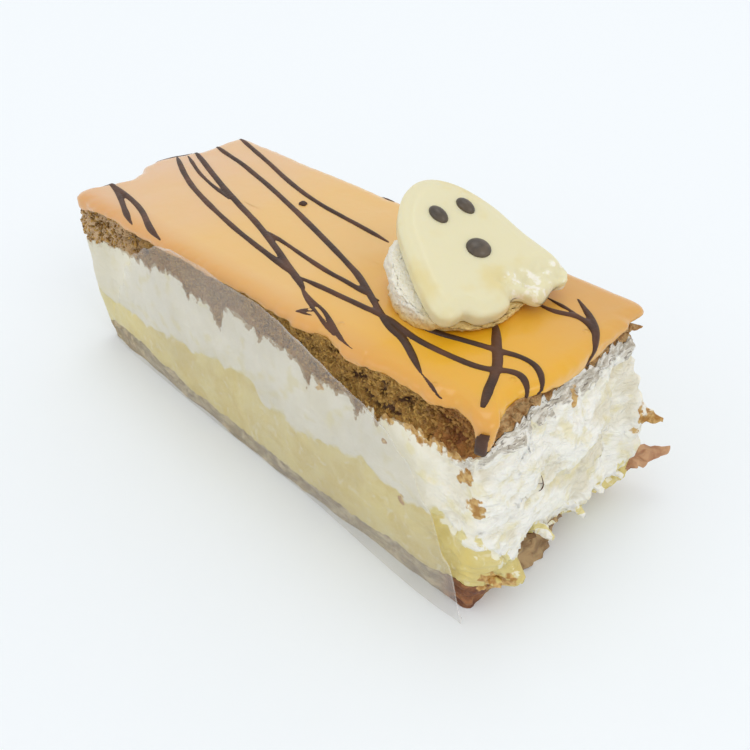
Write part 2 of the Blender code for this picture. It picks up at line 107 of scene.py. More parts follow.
# Flakes and tips pulled out of each layer at the torn end, in mm: root, tip, lift, half width,
# half thickness and seed
PULLED_OUT = {
    "base_crust": (((54.0, 18.0, 7.0), (63.8, 29.0, 9.0), 0.6, 3.6, 1.1, 4.0),),
    "custard_filling": (
        ((55.0, -14.5, 7.0), (61.2, -12.6, 5.4), 0.0, 2.0, 1.5, 1.0),
        ((55.0, -17.5, 7.0), (59.6, -17.0, 6.6), 0.0, 1.6, 1.2, 3.0),
    ),
    "cream_filling": (
        ((55.0, 5.0, 9.0), (60.6, 6.0, 6.6), 0.0, 1.6, 1.2, 5.0),
        ((55.0, 12.0, 9.0), (60.4, 12.6, 7.4), 0.0, 1.4, 1.1, 6.0),
        ((55.0, 16.5, 9.5), (61.0, 17.4, 8.4), 0.0, 1.6, 1.1, 7.0),
        ((55.0, -4.0, 9.5), (60.2, -3.4, 7.6), 0.0, 1.5, 1.2, 8.0),
        ((55.0, 20.4, 20.6), (63.4, 23.0, 20.8), 0.0, 2.7, 1.0, 9.0),
    ),
    "upper_pastry": (((53.5, 16.5, 40.2), (56.6, 19.6, 40.0), 0.0, 1.5, 0.6, 2.0),),
}
# Buttery pastry that is smeared on the fillings: place and reach in mm
AMBER_PATCHES = (
    (49.6, -22.5, 35.0, 3.4), (47.2, -22.5, 35.8, 2.8), (44.8, -22.5, 34.4, 2.6), (41.6, -22.5, 34.8, 3.4),
    (51.6, -22.5, 30.4, 2.2), (53.4, -22.5, 31.2, 2.2), (55.9, -22.2, 26.4, 2.9), (20.1, -22.5, 29.7, 1.4),
    (58.0, 0.4, 37.8, 2.2), (36.4, -22.5, 33.2, 2.0), (59.6, -17.0, 5.4, 3.6), (62.6, 22.6, 20.8, 6.0),
    (35.9, -22.5, 27.5, 0.9), (40.0, -22.5, 16.3, 1.3), (57.5, -18.5, 8.0, 2.0),
)
# Patches belong to a layer that is at most this far away
AMBER_NEAR = 3 * MM

FRONT_BOW = 1.5 * MM
CREAM_BULGE = 1.2 * MM
FAR_BULGE = 2.0 * MM
# How far the far end reaches out at its filmed corner, level by level
FAR_CORNER = (1.0, 2.4, 3.1, 3.1, 1.0)
# How far the far end's top edge reaches out, filmed side to back, and how far the near corner draws in
FAR_EDGE = [value * MM for value in (2.7, 0.9, -0.4, -1.6, -0.3, 1.9, 2.2, 1.8, 0.3, -1.4, -1.6, -1.6, -1.6)]
CORNER_DRAW = 1.1 * MM

# Poured icing: how far the lip stands out, and how wide the shoulder above it is
LIP_OUT = 1.1 * MM
SHOULDER = 2.6 * MM
# How low the lip hangs under the pastry's top edge, on the filmed side from the far end and on the torn
# end from the filmed side. Below 0 the coat stops short of the edge and draws back by LIP_DRAW of it.
LIP_LINE = [value * MM for value in (
    2.2, 1.1, 0.4, -0.1, -0.2, -0.3, 0.0, 0.3, 0.4, 0.4, 0.2, 0.1, -0.2, -0.5, -0.6,
    -0.6, -0.4, -0.2, -0.3, -0.5, -0.8, -1.2, -1.5, -1.7, -1.4, -1.0, -1.0, -1.3, 0.2, -0.7,
    -1.6, -1.8, -1.2, 0.8, 0.6, -0.8, -1.7, -1.7, -1.4, -1.3, 0.4, -1.0, -2.2, -2.0, -0.6)]
LIP_END = [value * MM for value in (1.2, -1.7, -2.6, -1.5, 0.2, 1.3, 1.9, 1.7, 1.8, 1.1, 0.2, -1.2, 0.2)]
LIP_DRAW = 0.77
LIP_PLAIN = 1.4 * MM
CORNER_DRIP = 4.5 * MM
CORNER_DRIP_WIDTH = 2.0 * MM

# Chocolate drizzle: each strand's radius and the points it passes over, in mm. A point with no height
# lies on the icing's top.
STRANDS = (
    (0.70, (-57.0, -16.5, 38.6), (-55.2, -14.3), (-47.6, -16.6), (-41.0, -19.4), (-35.5, -21.6)),
    (0.75, (-55.2, -14.3), (-45.4, -15.4), (-38.3, -17.1), (-31.0, -20.0), (-25.6, -21.4)),
    (0.75, (-56.3, 3.9), (-45.3, -1.2), (-33.8, -5.0), (-14.8, -9.3), (2.6, -12.2), (5.0, -13.4)),
    (0.85, (-55.4, 8.4), (-33.2, 0.6), (-13.4, -5.5), (6.5, -13.3), (9.6, -15.0)),
    (0.42, (8.8, -14.8), (11.7, -16.3), (15.1, -17.5), (18.6, -18.8), (21.4, -20.1), (22.9, -20.8)),
    (0.50, (-54.9, 5.9), (-43.5, 1.6), (-28.9, -1.8)),
    (0.60, (-13.1, -5.2), (-3.5, -6.3), (7.2, -7.7), (13.9, -8.0), (22.0, -8.4)),
    (0.75, (5.5, -12.4), (24.7, -11.4), (29.9, -11.7), (35.0, -12.2), (43.5, -11.6), (47.3, -10.6),
     (49.7, -9.1), (51.9, -8.6), (54.1, -9.6), (56.4, -11.4, 41.4)),
    (0.46, (8.8, -14.4), (12.8, -15.9), (16.6, -16.7), (20.5, -18.3), (24.4, -20.2), (28.4, -21.1)),
    (0.80, (-54.4, 13.5), (-34.2, 9.6), (-12.4, 3.5), (8.2, -3.2), (15.1, -5.9), (27.5, -12.3),
     (33.2, -14.0), (40.6, -18.3)),
    (0.55, (40.6, -18.3), (44.0, -19.6), (46.8, -20.9)),
    (0.70, (-54.2, 20.4), (-36.8, 15.5), (-16.5, 10.0), (9.0, 7.3)),
    (0.65, (29.0, -9.6), (35.5, -8.6), (39.2, -7.5), (46.4, -5.6), (49.1, -4.9), (52.1, -5.1), (55.0, -7.0),
     (56.8, -9.2, 41.6)),
    (1.20, (40.6, -0.4), (41.9, -1.7), (44.5, -4.8), (47.4, -8.2), (49.1, -11.1),
     (50.9, -14.9), (52.7, -18.4)),
    (0.70, (41.3, 9.0), (45.5, 8.9), (49.3, 10.1), (52.2, 9.5), (55.3, 7.2), (56.8, 4.4, 41.0)),
    (0.60, (42.0, 11.6), (46.0, 11.1), (50.0, 10.6)),
    (0.75, (46.5, 14.6), (49.7, 12.5), (52.0, 10.7), (54.4, 8.2), (55.6, 6.0, 42.4), (56.6, 3.6, 40.2)),
    (0.60, (13.2, -20.0), (14.0, -19.0), (14.6, -18.0)),
    (0.60, (13.2, -20.1), (14.8, -19.6), (16.6, -19.0)),
    (0.60, (13.8, -19.6), (14.6, -18.8), (15.6, -18.3)),
    (0.70, (-6.9, 22.1), (-2.2, 20.6)),
    (0.55, (-58.0, -1.4, 38.0), (-58.0, 1.8, 38.4), (-56.8, 5.4), (-55.2, 8.6)),
)
# A spot of chocolate: x, y, radius and half thickness
SPOT = (-15.5, 7.1, 1.0, 0.45)
# The thick strand's last piece, broken off on the corner's drip: places and heights
CORNER_PIECE = ((55.9, -21.9, 42.0), (55.6, -22.4, 39.8), (55.2, -22.6, 37.4))
# A dark sliver that forks, on the torn cream
SLIVER = (
    (0.20, (60, -9.1, 22.8), (60, -8.5, 24.6), (60, -7.8, 26.4)),
    (0.15, (60, -8.4, 24.8), (60, -9.3, 26.2)),
)
# How far a strand stands out of the surface, at most and as a part of its radius
STRAND_RISE = 0.42 * MM
STRAND_PART = 0.65
SLIVER_PART = 1.8
# Bubbles that set in the icing, in mm
BUBBLES = (
    (52.9, 7.7, 43.6), (52.1, -5.6, 43.6), (51.9, -10.2, 43.6), (44.0, -19.0, 43.2), (22.0, -17.5, 42.1))
STRAND_STEP = 0.5 * MM
STRAND_SIDES = 12
DRIZZLE_VOXEL = 0.23 * MM
SLIVER_VOXEL = 0.08 * MM

# Loose crumbs on the top pastry: how many for each square mm, their smallest and largest radius, and seed
CRUMB_DENSITY = 2.2 / MM ** 2
CRUMB_SMALLEST = 0.16 * MM
CRUMB_LARGEST = 0.48 * MM
CRUMB_SEED = 4

# The ghost: a moulded plate that leans back on the cream under it
GHOST_FOOT = Vector((38.9, 5.8, 45.0)) * MM
GHOST_TILT = math.radians(18)
GHOST_TURN = math.radians(70.5)
GHOST_THICK = 4.0 * MM
GHOST_ROUND = 2.6 * MM
GHOST_VOXEL = 0.36 * MM
# Outline in the plate's plane in mm, from the head clockwise, with the wavy hem last
GHOST_OUTLINE = (
    (-4.6, 25.9), (-1.4, 24.9), (1.8, 21.8), (4.8, 16.2), (6.8, 9.4), (9.2, 3.4), (10.0, 0.0),
    (8.6, -2.6), (6.6, -2.4), (4.6, -3.6), (2.6, -4.6), (1.0, -3.8), (0.0, -2.6), (-1.8, -2.2), (-3.0, -3.6),
    (-5.0, -4.6), (-7.4, -4.9), (-9.6, -4.5), (-11.2, -3.0), (-12.6, -3.4), (-14.4, -3.4), (-16.0, -1.4),
    (-16.0, 4.0), (-15.0, 10.8), (-13.6, 17.2), (-10.6, 22.4), (-7.6, 25.0),
)
# Eyes and mouth on the plate: centre across and along, half width, half length in mm, and lean in degrees
GHOST_DROPS = ((-6.4, 16.6, 1.35, 2.1, 12.0), (-0.9, 17.0, 1.25, 2.0, 16.0), (-3.3, 7.7, 2.05, 2.2, 30.0))
DROP_HEIGHT = 1.0 * MM

# Whipped cream under the ghost
DOLLOP_CENTRE = Vector((30.0, 2.4, 45.6)) * MM
DOLLOP_SIZE = Vector((12.6, 12.4, 8.0)) * MM

# Clear film against the filmed side
FILM_STAND = 1.3 * MM
FILM_BOW = 1.3 * MM
FILM_SPLAY = 1.7 * MM
FILM_TUCK = 0.6 * MM
FILM_START = -53 * MM
FILM_END = 57 * MM
FILM_THICK = 0.12 * MM
FILM_COLUMNS = 180
FILM_ROWS = 60
FILM_LINE = [value * MM for value in (
    7.0, 14.0, 21.5, 29.0, 34.2, 37.6, 40.2, 41.4, 41.8, 42.2, 41.6,
    41.8, 42.0, 41.2, 39.6, 38.0, 36.4, 35.2, 32.8, 29.0, 21.6, 12.0, 1.6)]

# Each light's place, width in m and power: a key high at the back, one by the torn end, a fill in front
LIGHTS = (((-0.6, 0.7, 2.4), 1.0, 4.6), ((1.6, 0.0, 1.4), 0.9, 4.2), ((-1.0, -2.0, 1.5), 1.4, 3.6))

# Camera: the photograph's pinhole, solved from the block's corners
CAMERA_PLACE = Vector((105.94, -93.83, 125.95)) * MM
CAMERA_AZIMUTH = math.radians(44.88)
CAMERA_ELEVATION = math.radians(39.93)
SENSOR_MM = 36.0
FOCAL_PIXELS = 850.0
IMAGE_PIXELS = 750.0


def smooth(value, low, high):
    """Rise smoothly from 0 at low to 1 at high."""
    part = max(0.0, min(1.0, (value - low) / (high - low)))
    return part * part * (3 - 2 * part)


def mix(low, high, part):
    return low + (high - low) * part


def along(line, part):
    """Read an evenly spaced line of values at part, from 0 to 1, on a smooth curve."""
    spot = max(0.0, min(1.0, part)) * (len(line) - 1)
    left = min(int(spot), len(line) - 2)
    return mix(line[left], line[left + 1], smooth(spot - left, 0, 1))


def grain(x, y, z, size, seed=0.0):
    """Even noise from about -1 to 1, with bumps of the given size."""
    return noise.noise(Vector((x / size + seed, y / size - seed, z / size + 0.37))) * 1.6


def creased(spot, size, seed, octaves=3):
    """Noise from 0 to about 1 with sharp crests, as torn cream has."""
    place = Vector((spot.x / size + seed, spot.y / size - seed, spot.z / size + seed * 0.5))
    return noise.ridged_multi_fractal(place, 1.0, 2.1, octaves, 1.0, 2.0) * 0.5


def perimeter(fine, coarse):
    """Each column's place on the plain block's outline and its outward normal, fine where it is seen."""
    columns = []
    half = Vector((LENGTH / 2 - CORNER_RADIUS, WIDTH / 2 - CORNER_RADIUS))
    for index, (side_x, side_y) in enumerate(((1, -1), (1, 1), (-1, 1), (-1, -1))):
        step = fine if index in (0, 3) else coarse
        centre = Vector((side_x * half.x, side_y * half.y))
        turns = max(3, round(CORNER_RADIUS * math.pi / 2 / fine))
        for turn in range(turns + 1):
            angle = math.radians(90) * (index - 1 + turn / turns)
            normal = Vector((math.cos(angle), math.sin(angle)))
            columns.append((centre + normal * CORNER_RADIUS, normal))
        run = 2 * (half.x if index % 2 else half.y)
        heading = Vector((-normal.y, normal.x))
        count = round(run / step)
        start = columns[-1][0]
        for position in range(1, count):
            columns.append((start + heading * run * position / count, normal))
    return columns


def sides(normal):
    """How much a column belongs to the filmed side, the torn end, the back and the far end."""
    return max(0, -normal.y) ** 2, max(0, normal.x) ** 2, max(0, normal.y) ** 2, max(0, -normal.x) ** 2


def top_height(x):
    return ICING_TOP + TOP_RISE * x / LENGTH


def plane_height(level, x):
    """Height of a level in the middle of the slice, where the layers are flat."""
    flat = (0.0, BASE_TOP, CUSTARD_TOP, CREAM_TOP, PASTRY_TOP)[level]
    rise = (0.0, 0.0, 0.0, CREAM_RISE, TOP_RISE)[level]
    return flat + rise * x / LENGTH


def ragged(level, place):
    """Fine raggedness of the line between two layers."""
    if level == 1:
        chips = abs(grain(place.x, place.y, 0, 1.3 * MM, 42.0))
        return (0.4 * grain(place.x, place.y, 0, 3.0 * MM, 41.0) + 0.5 * chips - 0.2) * MM
    if level == 2:
        return 0.7 * MM * grain(place.x, place.y, 0, 3.0 * MM, 43.0)
    if level == 3:
        teeth = abs(grain(place.x, place.y, 0, 1.7 * MM, 47.0))
        teeth += 0.5 * abs(grain(place.x, place.y, 0, 0.8 * MM, 49.0))
        return (0.6 - 1.3 * teeth) * MM
    return 0.0


def edge_height(level, place, normal):
    """Height of the line between two layers on the slice's walls."""
    plane = plane_height(level, place.x)
    if level in (0, 4):
        return plane
    front, torn, back, far = sides(normal)
    length_part = place.x / LENGTH + 0.5
    width_part = place.y / WIDTH + 0.5
    wave = 1.3 * MM * grain(place.x, place.y, 0, 11 * MM, 3.0 * level)
    plain = plane + wave
    front_line = along((None, BASE_LINE, CUSTARD_LINE, CREAM_LINE)[level], length_part)
    if level == 3:
        front_line -= sum(length * math.exp(-((place.x - x) / width) ** 2) for x, length, width in SMEARS)
    torn_line = plain
    if level == 1:
        torn_line = along(BASE_END, width_part)
    if level == 2:
        torn_line = along(CUSTARD_END, width_part)
    if level == 3:
        torn_line = along(CREAM_END, width_part)
    return front * front_line + torn * torn_line + back * plain + far * plain + ragged(level, place)


def torn_reach(place, height):
    """How far the torn end stands out of the plain block, before its fine relief."""
    rows = [along(row, place.y / WIDTH + 0.5) for row in TORN_REACH]
    hem = 1.3 * MM * (creased(Vector((0, place.y, 0)), 2.4 * MM, 5.0) - 0.5)
    return along(rows, height / TORN_REACH_TOP) + hem * math.exp(-((height - 7 * MM) / (3 * MM)) ** 2)


def outset(level, place, normal):
    """How far the outline at a level stands out of the plain block."""
    front, torn, back, far = sides(normal)
    bow = FRONT_BOW * math.cos(math.pi * place.x / LENGTH)
    lean = (1.0, 0.9, 0.5, -0.3, -0.5)[level]
    wave = grain(place.x, place.y, 0, 6 * MM, 5.0 + level)
    reach = front * (bow * max(lean, 0) + 0.4 * MM * min(lean, 0))
    reach += back * (0.6 * MM * lean)
    reach += torn * (torn_reach(place, edge_height(level, place, normal)) + 0.3 * MM * wave)
    by_film = smooth(-place.y, 8 * MM, 18 * MM)
    reach += far * (mix(1.0, FAR_CORNER[level], by_film) * MM + 0.5 * MM * wave * (1 - by_film))
    if level in (1, 2, 3):
        reach += front * 0.5 * MM * smooth(-place.x, 43 * MM, 53 * MM)
    if level == 3:
        reach += front * 0.9 * MM * smooth(-place.x, 47 * MM, 54 * MM)
    if level == 4:
        reach += far * (along(FAR_EDGE, place.y / WIDTH + 0.5) - 1.0 * MM)
        reach -= front * CORNER_DRAW * smooth(place.x, 32 * MM, 52 * MM)
    return reach + (front + back) * 0.3 * MM * wave


def bulge(name, place, normal, part, height, low, high):
    """Extra reach of one layer's wall between the reaches of its two outlines."""
    front, torn, back, far = sides(normal)
    belly = math.sin(math.pi * part)
    far_belly = far * mix(FAR_BULGE, 0.4 * MM, smooth(-place.y, 8 * MM, 18 * MM))
    reach = torn * (torn_reach(place, height) - mix(low, high, part))
    if name == "cream":
        return reach + belly * (front * 0.3 * MM + back * CREAM_BULGE + far_belly)
    if name == "custard":
        return reach + belly * (front * 0.2 * MM + back * CREAM_BULGE + far_belly * 0.6)
    if name == "top_pastry":
        return belly * mix(-0.5 * MM, 0.8 * MM, smooth(-place.x, 47 * MM, 54 * MM))
    return reach


def torn_share(place, normal):
    """1 where the wall was torn open, fading along the filmed side from the corner."""
    front, torn, back, far = sides(normal)
    corner = smooth(place.x, LENGTH / 2 - 19 * MM, LENGTH / 2 - 1 * MM)
    return max(torn, 0.7 * corner * front, 0.4 * corner * back)


def cream_relief(spot, place, normal, part):
    """The soft fillings' surface: pressed flat by the film, folded and peaked where it was torn."""
    torn = torn_share(place, normal)
    front = sides(normal)[0] * (1 - torn)
    calm = 0.22 * MM * grain(*spot, 7 * MM, 2.0) + 0.10 * MM * grain(*spot, 1.8 * MM, 4.0)
    loose = 0.5 * MM * grain(*spot, 6 * MM, 6.0) + 0.3 * MM * creased(spot, 4 * MM, 8.0)
    if torn < 0.01:
        return normal.to_3d() * mix(loose, calm, front), 0.0
    warped = spot + noise.noise_vector(spot / (7 * MM)) * 2.4 * MM
    swept = Vector((warped.x * 0.7, warped.y * 0.28 + warped.z * 0.2, warped.z * 1.25 - warped.y * 0.30))
    wild = 1.0 * MM * grain(*spot, 9 * MM, 10.0)
    wild += 1.9 * MM * (creased(swept, 6.5 * MM, 12.0, 3) - 0.5)
    wild += 1.5 * MM * (creased(swept, 2.6 * MM, 14.0, 3) - 0.5)
    wild += 0.35 * MM * (creased(swept, 1.2 * MM, 18.0, 3) - 0.5)
    wild += 0.10 * MM * grain(*spot, 0.8 * MM, 16.0)
    near_y = math.exp(-((spot.y - RECESS_Y) / (3 * MM)) ** 4)
    near_z = math.exp(-((spot.z - RECESS_Z) / (9 * MM)) ** 4)
    recess = torn * near_y * near_z
    wild = mix(wild, 0.3 * MM * grain(*spot, 5 * MM, 11.0), 0.8 * recess)
    reach = torn * wild + (1 - torn) * mix(loose, calm, front)
    push = normal.to_3d() * reach
    coarse = noise.noise_vector(spot / (2.6 * MM)) * 0.5 * MM
    fine = noise.noise_vector(spot / (1.1 * MM)) * 0.15 * MM
    swirl = coarse + fine
    # The second value is how deep a spot lies in the torn folds; the cream darkens it as painted shade
    return push + swirl * torn * (1 - recess), torn * smooth(wild, 1.2 * MM, -1.0 * MM)


def pastry_relief(spot, place, normal, part):
    """Baked leaves with open pores: flat cells with thin walls. Gives the push and the depth in a pore,
    which the pastry's colour darkens as painted shade.
    """
    bent = spot + noise.noise_vector(spot / (3 * MM)) * 0.7 * MM
    cell = Vector((bent.x / (1.15 * MM), bent.y / (1.15 * MM), bent.z / (0.75 * MM)))
    near, after = noise.voronoi(cell)[0][:2]
    open_part = smooth(after - near, 0.05, 0.5) * smooth(noise.noise(spot / (2.2 * MM)), -0.5, 0.0)
    crumb = noise.noise(spot / (0.6 * MM))
    cavity = CAVITY_DEPTH * math.exp(-((spot.x - CAVITY_X) / (5 * MM)) ** 2)
    cavity *= smooth(part, 0.0, 0.3) * smooth(part, 1.0, 0.7)
    cavity *= 1 + 0.5 * noise.noise(Vector((bent.x / (3 * MM), 0, bent.z / (0.8 * MM))))
    leafy = Vector((bent.x / (3.2 * MM), bent.y / (3.2 * MM), bent.z / (1.5 * MM)))
    film_top = along(FILM_LINE, (spot.x - FILM_START) / (FILM_END - FILM_START))
    pressed = smooth(film_top - spot.z, 1.0 * MM, 2.5 * MM) * sides(normal)[0]
    hollow = smooth(noise.noise(leafy), 0.08, 0.42) * mix(1.0, 0.05, pressed)
    reach = -0.7 * MM * open_part - 0.8 * MM * hollow + 0.25 * MM * crumb - cavity
    return normal.to_3d() * reach, max(0.6 * open_part, hollow)


def base_relief(spot, place, normal, part):
    torn = torn_share(place, normal)
    strata = noise.noise(Vector((spot.x / (6 * MM), spot.y / (6 * MM), spot.z / (0.8 * MM))))
    chips = noise.noise(spot / (2.0 * MM))
    return normal.to_3d() * (0.35 * MM * strata + (0.2 + 1.2 * torn) * MM * chips), max(0.0, -strata)


def level_ring(columns, level, inset, soft=0.0):
    """Ring of points on a level, at the outline or inset from it onto the flat middle."""
    ring = []
    for place, normal in columns:
        spot = place + normal * outset(level, place, normal)
        height = edge_height(level, place, normal)
        if inset:
            shrink = Vector((1 - 2 * INSET / LENGTH, 1 - 2 * INSET / WIDTH))
            inner = Vector((place.x * shrink.x, place.y * shrink.y))
            spot = spot.lerp(inner, inset)
            height = mix(height, plane_height(level, inner.x), inset)
        ring.append(Vector((spot.x, spot.y, height + soft)))
    return ring


def wall_ring(name, columns, level, part, relief):
    """Ring part of the way up a layer's wall, with its fine relief, and its traces for the materials."""
    ring = []
    traces = []
    # The two soft fillings share their whole relief along their common line, and fade it at their other one
    low_fade = 1.0 if name == "cream" else smooth(part, 0, 0.06)
    high_fade = 1.0 if name == "custard" else smooth(part, 1, 0.94)
    fade = low_fade * high_fade
    for place, normal in columns:
        bottom = edge_height(level, place, normal)
        top = edge_height(level + 1, place, normal)
        height = mix(bottom, top, part)
        reach = mix(outset(level, place, normal), outset(level + 1, place, normal), part)
        reach += bulge(name, place, normal, part, height, torn_reach(place, bottom), torn_reach(place, top))
        spot = (place + normal * reach).to_3d()
        spot.z = height
        push, depth = relief(spot, place, normal, part)
        ring.append(spot + push * mix(fade, 1.0, 0.25))
        traces.append(((height - bottom) / MM, (top - height) / MM, depth * fade))
    return ring, traces


def add_object(name, data):
    """Put a new object with the given mesh, light or camera into the scene."""
    item = bpy.data.objects.new(name, data)
    bpy.context.scene.collection.objects.link(item)
    return item


def finish_mesh(name, bm):
    """A smooth object from a finished bmesh."""
    mesh = bpy.data.meshes.new(name)
    bm.to_mesh(mesh)
    bm.free()
    mesh.shade_smooth()
    return add_object(name, mesh)


def loft(name, rings, sharp_rings=()):
    """Join rings of equal count into a closed mesh object with flat ends and some sharp rims."""
    count = len(rings[0])
    points = [point for ring in rings for point in ring]
    faces = []
    for band in range(len(rings) - 1):
        low = band * count
        high = low + count
        for index in range(count):
            after = (index + 1) % count
            faces.append((low + index, low + after, high + after, high + index))
    faces.append(tuple(reversed(range(count))))
    faces.append(tuple(range(len(points) - count, len(points))))
    mesh = bpy.data.meshes.new(name)
    mesh.from_pydata(points, [], faces)
    mesh.shade_smooth()
    for edge in mesh.edges:
        start, end = (vertex // count for vertex in edge.vertices)
        edge.use_edge_sharp = start == end and start in sharp_rings
    return add_object(name, mesh)


def set_attribute(item, name, values):
    layer = item.data.attributes.new(name, "FLOAT", "POINT")
    layer.data.foreach_set("value", values)


def make_layer(name, columns):
    """One filling or pastry layer, as a dense wall between its two height lines.

    Its materials read four attributes: torn share, mm over the layer's lower line, mm under its upper
    line, and depth in a pore or fold, which the pastry and cream darken as painted shade.
    """
    node, level, relief, rows = LAYERS[name][:4]
    rings = [level_ring(columns, level, 1.0), level_ring(columns, level, 0.25)]
    traces = [(0.0, 9.0, 0.0)] * (2 * len(columns))
    for row in range(rows + 1):
        ring, ring_traces = wall_ring(node, columns, level, row / rows, relief)
        rings.append(ring)
        traces += ring_traces
    rings.append(level_ring(columns, level + 1, 0.25))
    rings.append(level_ring(columns, level + 1, 1.0))
    traces += [(9.0, 0.0, 0.0)] * (2 * len(columns))
    item = loft(name, rings, (2, 2 + rows))
    torn = [torn_share(place, normal) for place, normal in columns]
    set_attribute(item, "torn", torn * len(rings))
    for index, trace in enumerate(("low", "high", "pore")):
        set_attribute(item, trace, [values[index] for values in traces])
    return item


def make_shard(root, tip, lift, half_width, half_thick, seed):
    """A pulled-out flake or tip: a flat, tapering tongue that curls up, with broken edges."""
    root = Vector(root) * MM
    run = Vector(tip) * MM - root
    across = Vector((-run.y, run.x, 0)).normalized()
    count = 26
    around = 28
    rings = []
    for index in range(count):
        part = index / (count - 1)
        centre = root + run * part
        centre.z += lift * MM * part ** 2.5
        slim = mix(1.0, 0.10, part ** 2.4) * MM
        ring = []
        for side in range(around):
            angle = 2 * math.pi * side / around
            row = seed + (3 if side < around / 2 else 0)
            ragged_edge = 1 + 0.35 * noise.noise(Vector((part * 9, row, 0)))
            spot = centre + across * half_width * slim * ragged_edge * math.cos(angle)
            spot.z += half_thick * MM * mix(1.0, 0.5, part) * math.sin(angle)
            spot += noise.noise_vector(spot / (1.6 * MM)) * 0.45 * MM
            ring.append(spot)
        rings.append(ring)
    item = loft("shard", rings)
    # Same traces as the layers have: torn, well away from both lines, and no painted pit shade
    for trace, value in (("torn", 1.0), ("low", 1.0), ("high", 9.0), ("pore", 0.1)):
        set_attribute(item, trace, [value] * len(item.data.vertices))
    return item


def make_filled_layer(name, columns):
    """A layer with the flakes or tips that are pulled out of it, and the trace of the amber patches."""
    item = join(make_layer(name, columns), [make_shard(*shard) for shard in PULLED_OUT[name]])
    tree = surface_tree(item)
    centres = []
    for x, y, z, reach in AMBER_PATCHES:
        spot, normal, face, distance = tree.find_nearest(Vector((x, y, z)) * MM)
        if distance < AMBER_NEAR:
            centres.append((spot, reach * MM))
    amber = []
    for vertex in item.data.vertices:
        shares = [1 - (vertex.co - spot).length / reach for spot, reach in centres]
        amber.append(max([0.0, *shares]))
    set_attribute(item, "amber", amber)
    return item


def lip_line(place, normal):
    """How far the icing's lip hangs under the pastry's top edge, or, below 0, how far it stays above it."""
    front, torn, back, far = sides(normal)
    drop = front * along(LIP_LINE, place.x / LENGTH + 0.5) + torn * along(LIP_END, place.y / WIDTH + 0.5)
    drop += (back + far) * (LIP_PLAIN + 0.8 * MM * grain(place.x, place.y, 0, 7 * MM, 21.0))
    drop += 0.25 * MM * grain(place.x, place.y, 0, 2 * MM, 23.0)
    corner = (place - Vector((LENGTH / 2, -WIDTH / 2))).length
    drop += CORNER_DRIP * math.exp(-(corner / CORNER_DRIP_WIDTH) ** 2)
    return drop


def spine_point(place):
    """The point of the slice's middle line that a column's surface runs to."""
    return Vector((max(-1, min(1, place.x / (LENGTH / 2))) * (LENGTH - WIDTH) / 2, 0))


def icing_swell(x, y):
    """Gentle unevenness of the poured icing's top."""
    return 0.16 * MM * grain(x, y, 0, 14 * MM, 51.0) + 0.06 * MM * grain(x, y, 0, 5 * MM, 53.0)


def make_icing(columns):
    """The poured coat: underside, hanging lip with round drips, shoulder and top."""
    depth = ICING_TOP - PASTRY_TOP
    lip = LIP_OUT - 0.3 * MM
    # The lip's section, from its inner face down, round and up: reach, share of the drop, rise, way in
    section = [(0.25 * MM, 0.0, 0.2 * MM, 0.0), (0.30 * MM, 0.8, 0.1 * MM, 0.0)]
    for turn in range(7):
        angle = math.pi * (1 + turn / 6)
        reach = 0.3 * MM + lip * 0.5 * (1 + math.cos(angle))
        section.append((reach, 0.9 + 0.1 * math.sin(-angle), 0.0, 0.0))
    section += [(LIP_OUT, 0.55, 0.0, 0.0), (LIP_OUT, 0.2, 0.0, 0.0)]
    for turn in range(10):
        angle = math.pi / 2 * turn / 9
        section.append((LIP_OUT, 0.0, depth * math.sin(angle), 1 - math.cos(angle)))
    rings = [level_ring(columns, 4, 1.0, 0.2 * MM)]
    for reach, share, rise, way_in in section:
        ring = []
        for place, normal in columns:
            line = lip_line(place, normal)
            drop = max(line, 0.15 * MM)
            draw = LIP_DRAW * min(line, 0.0)
            swell = 0.35 * MM * smooth(drop, 1.0 * MM, 4.0 * MM) * math.sin(math.pi * min(1.0, share))
            ripple = 0.12 * MM * grain(place.x, place.y, share, 1.6 * MM, 25.0)
            spot = place + normal * (outset(4, place, normal) + reach + swell + ripple)
            spot += (spine_point(place) - spot).normalized() * -draw
            inner = Vector((spot.x * (1 - 2 * SHOULDER / LENGTH), spot.y * (1 - 2 * SHOULDER / WIDTH)))
            spot = spot.lerp(inner, way_in)
            height = plane_height(4, spot.x) - share * drop + rise
            ring.append(Vector((spot.x, spot.y, height)))
        rings.append(ring)
    edge = rings[-1]
    for step in range(1, 17):
        part = (step / 16) ** 1.4
        ring = []
        for point, (place, normal) in zip(edge, columns):
            spot = Vector((point.x, point.y)).lerp(spine_point(place), part * 0.985)
            swell = icing_swell(spot.x, spot.y) * smooth(part, 0.0, 0.15)
            ring.append(Vector((spot.x, spot.y, top_height(spot.x) + swell)))
        rings.append(ring)
    return loft("icing_coat", rings)


def surface_tree(item):
    """A search tree of an object's faces, in the slice's frame."""
    mesh = item.data
    points = [vertex.co for vertex in mesh.vertices]
    return BVHTree.FromPolygons(points, [face.vertices for face in mesh.polygons])


def curve_spot(before, start, end, after, t):
    """A point between start and end on the smooth curve through four points."""
    return 0.5 * (2 * start + (end - before) * t
                  + (2 * before - 5 * start + 4 * end - after) * t ** 2
                  + (3 * start - before - 3 * end + after) * t ** 3)


def through(points, step):
    """Points evenly along a smooth curve that passes through the given ones."""
    ends = [points[0] * 2 - points[1], *points, points[-1] * 2 - points[-2]]
    result = []
    for before, start, end, after in zip(ends, ends[1:], ends[2:], ends[3:]):
        count = max(1, round((end - start).length / step))
        result += [curve_spot(before, start, end, after, index / count) for index in range(count)]
    result.append(points[-1])
    return result


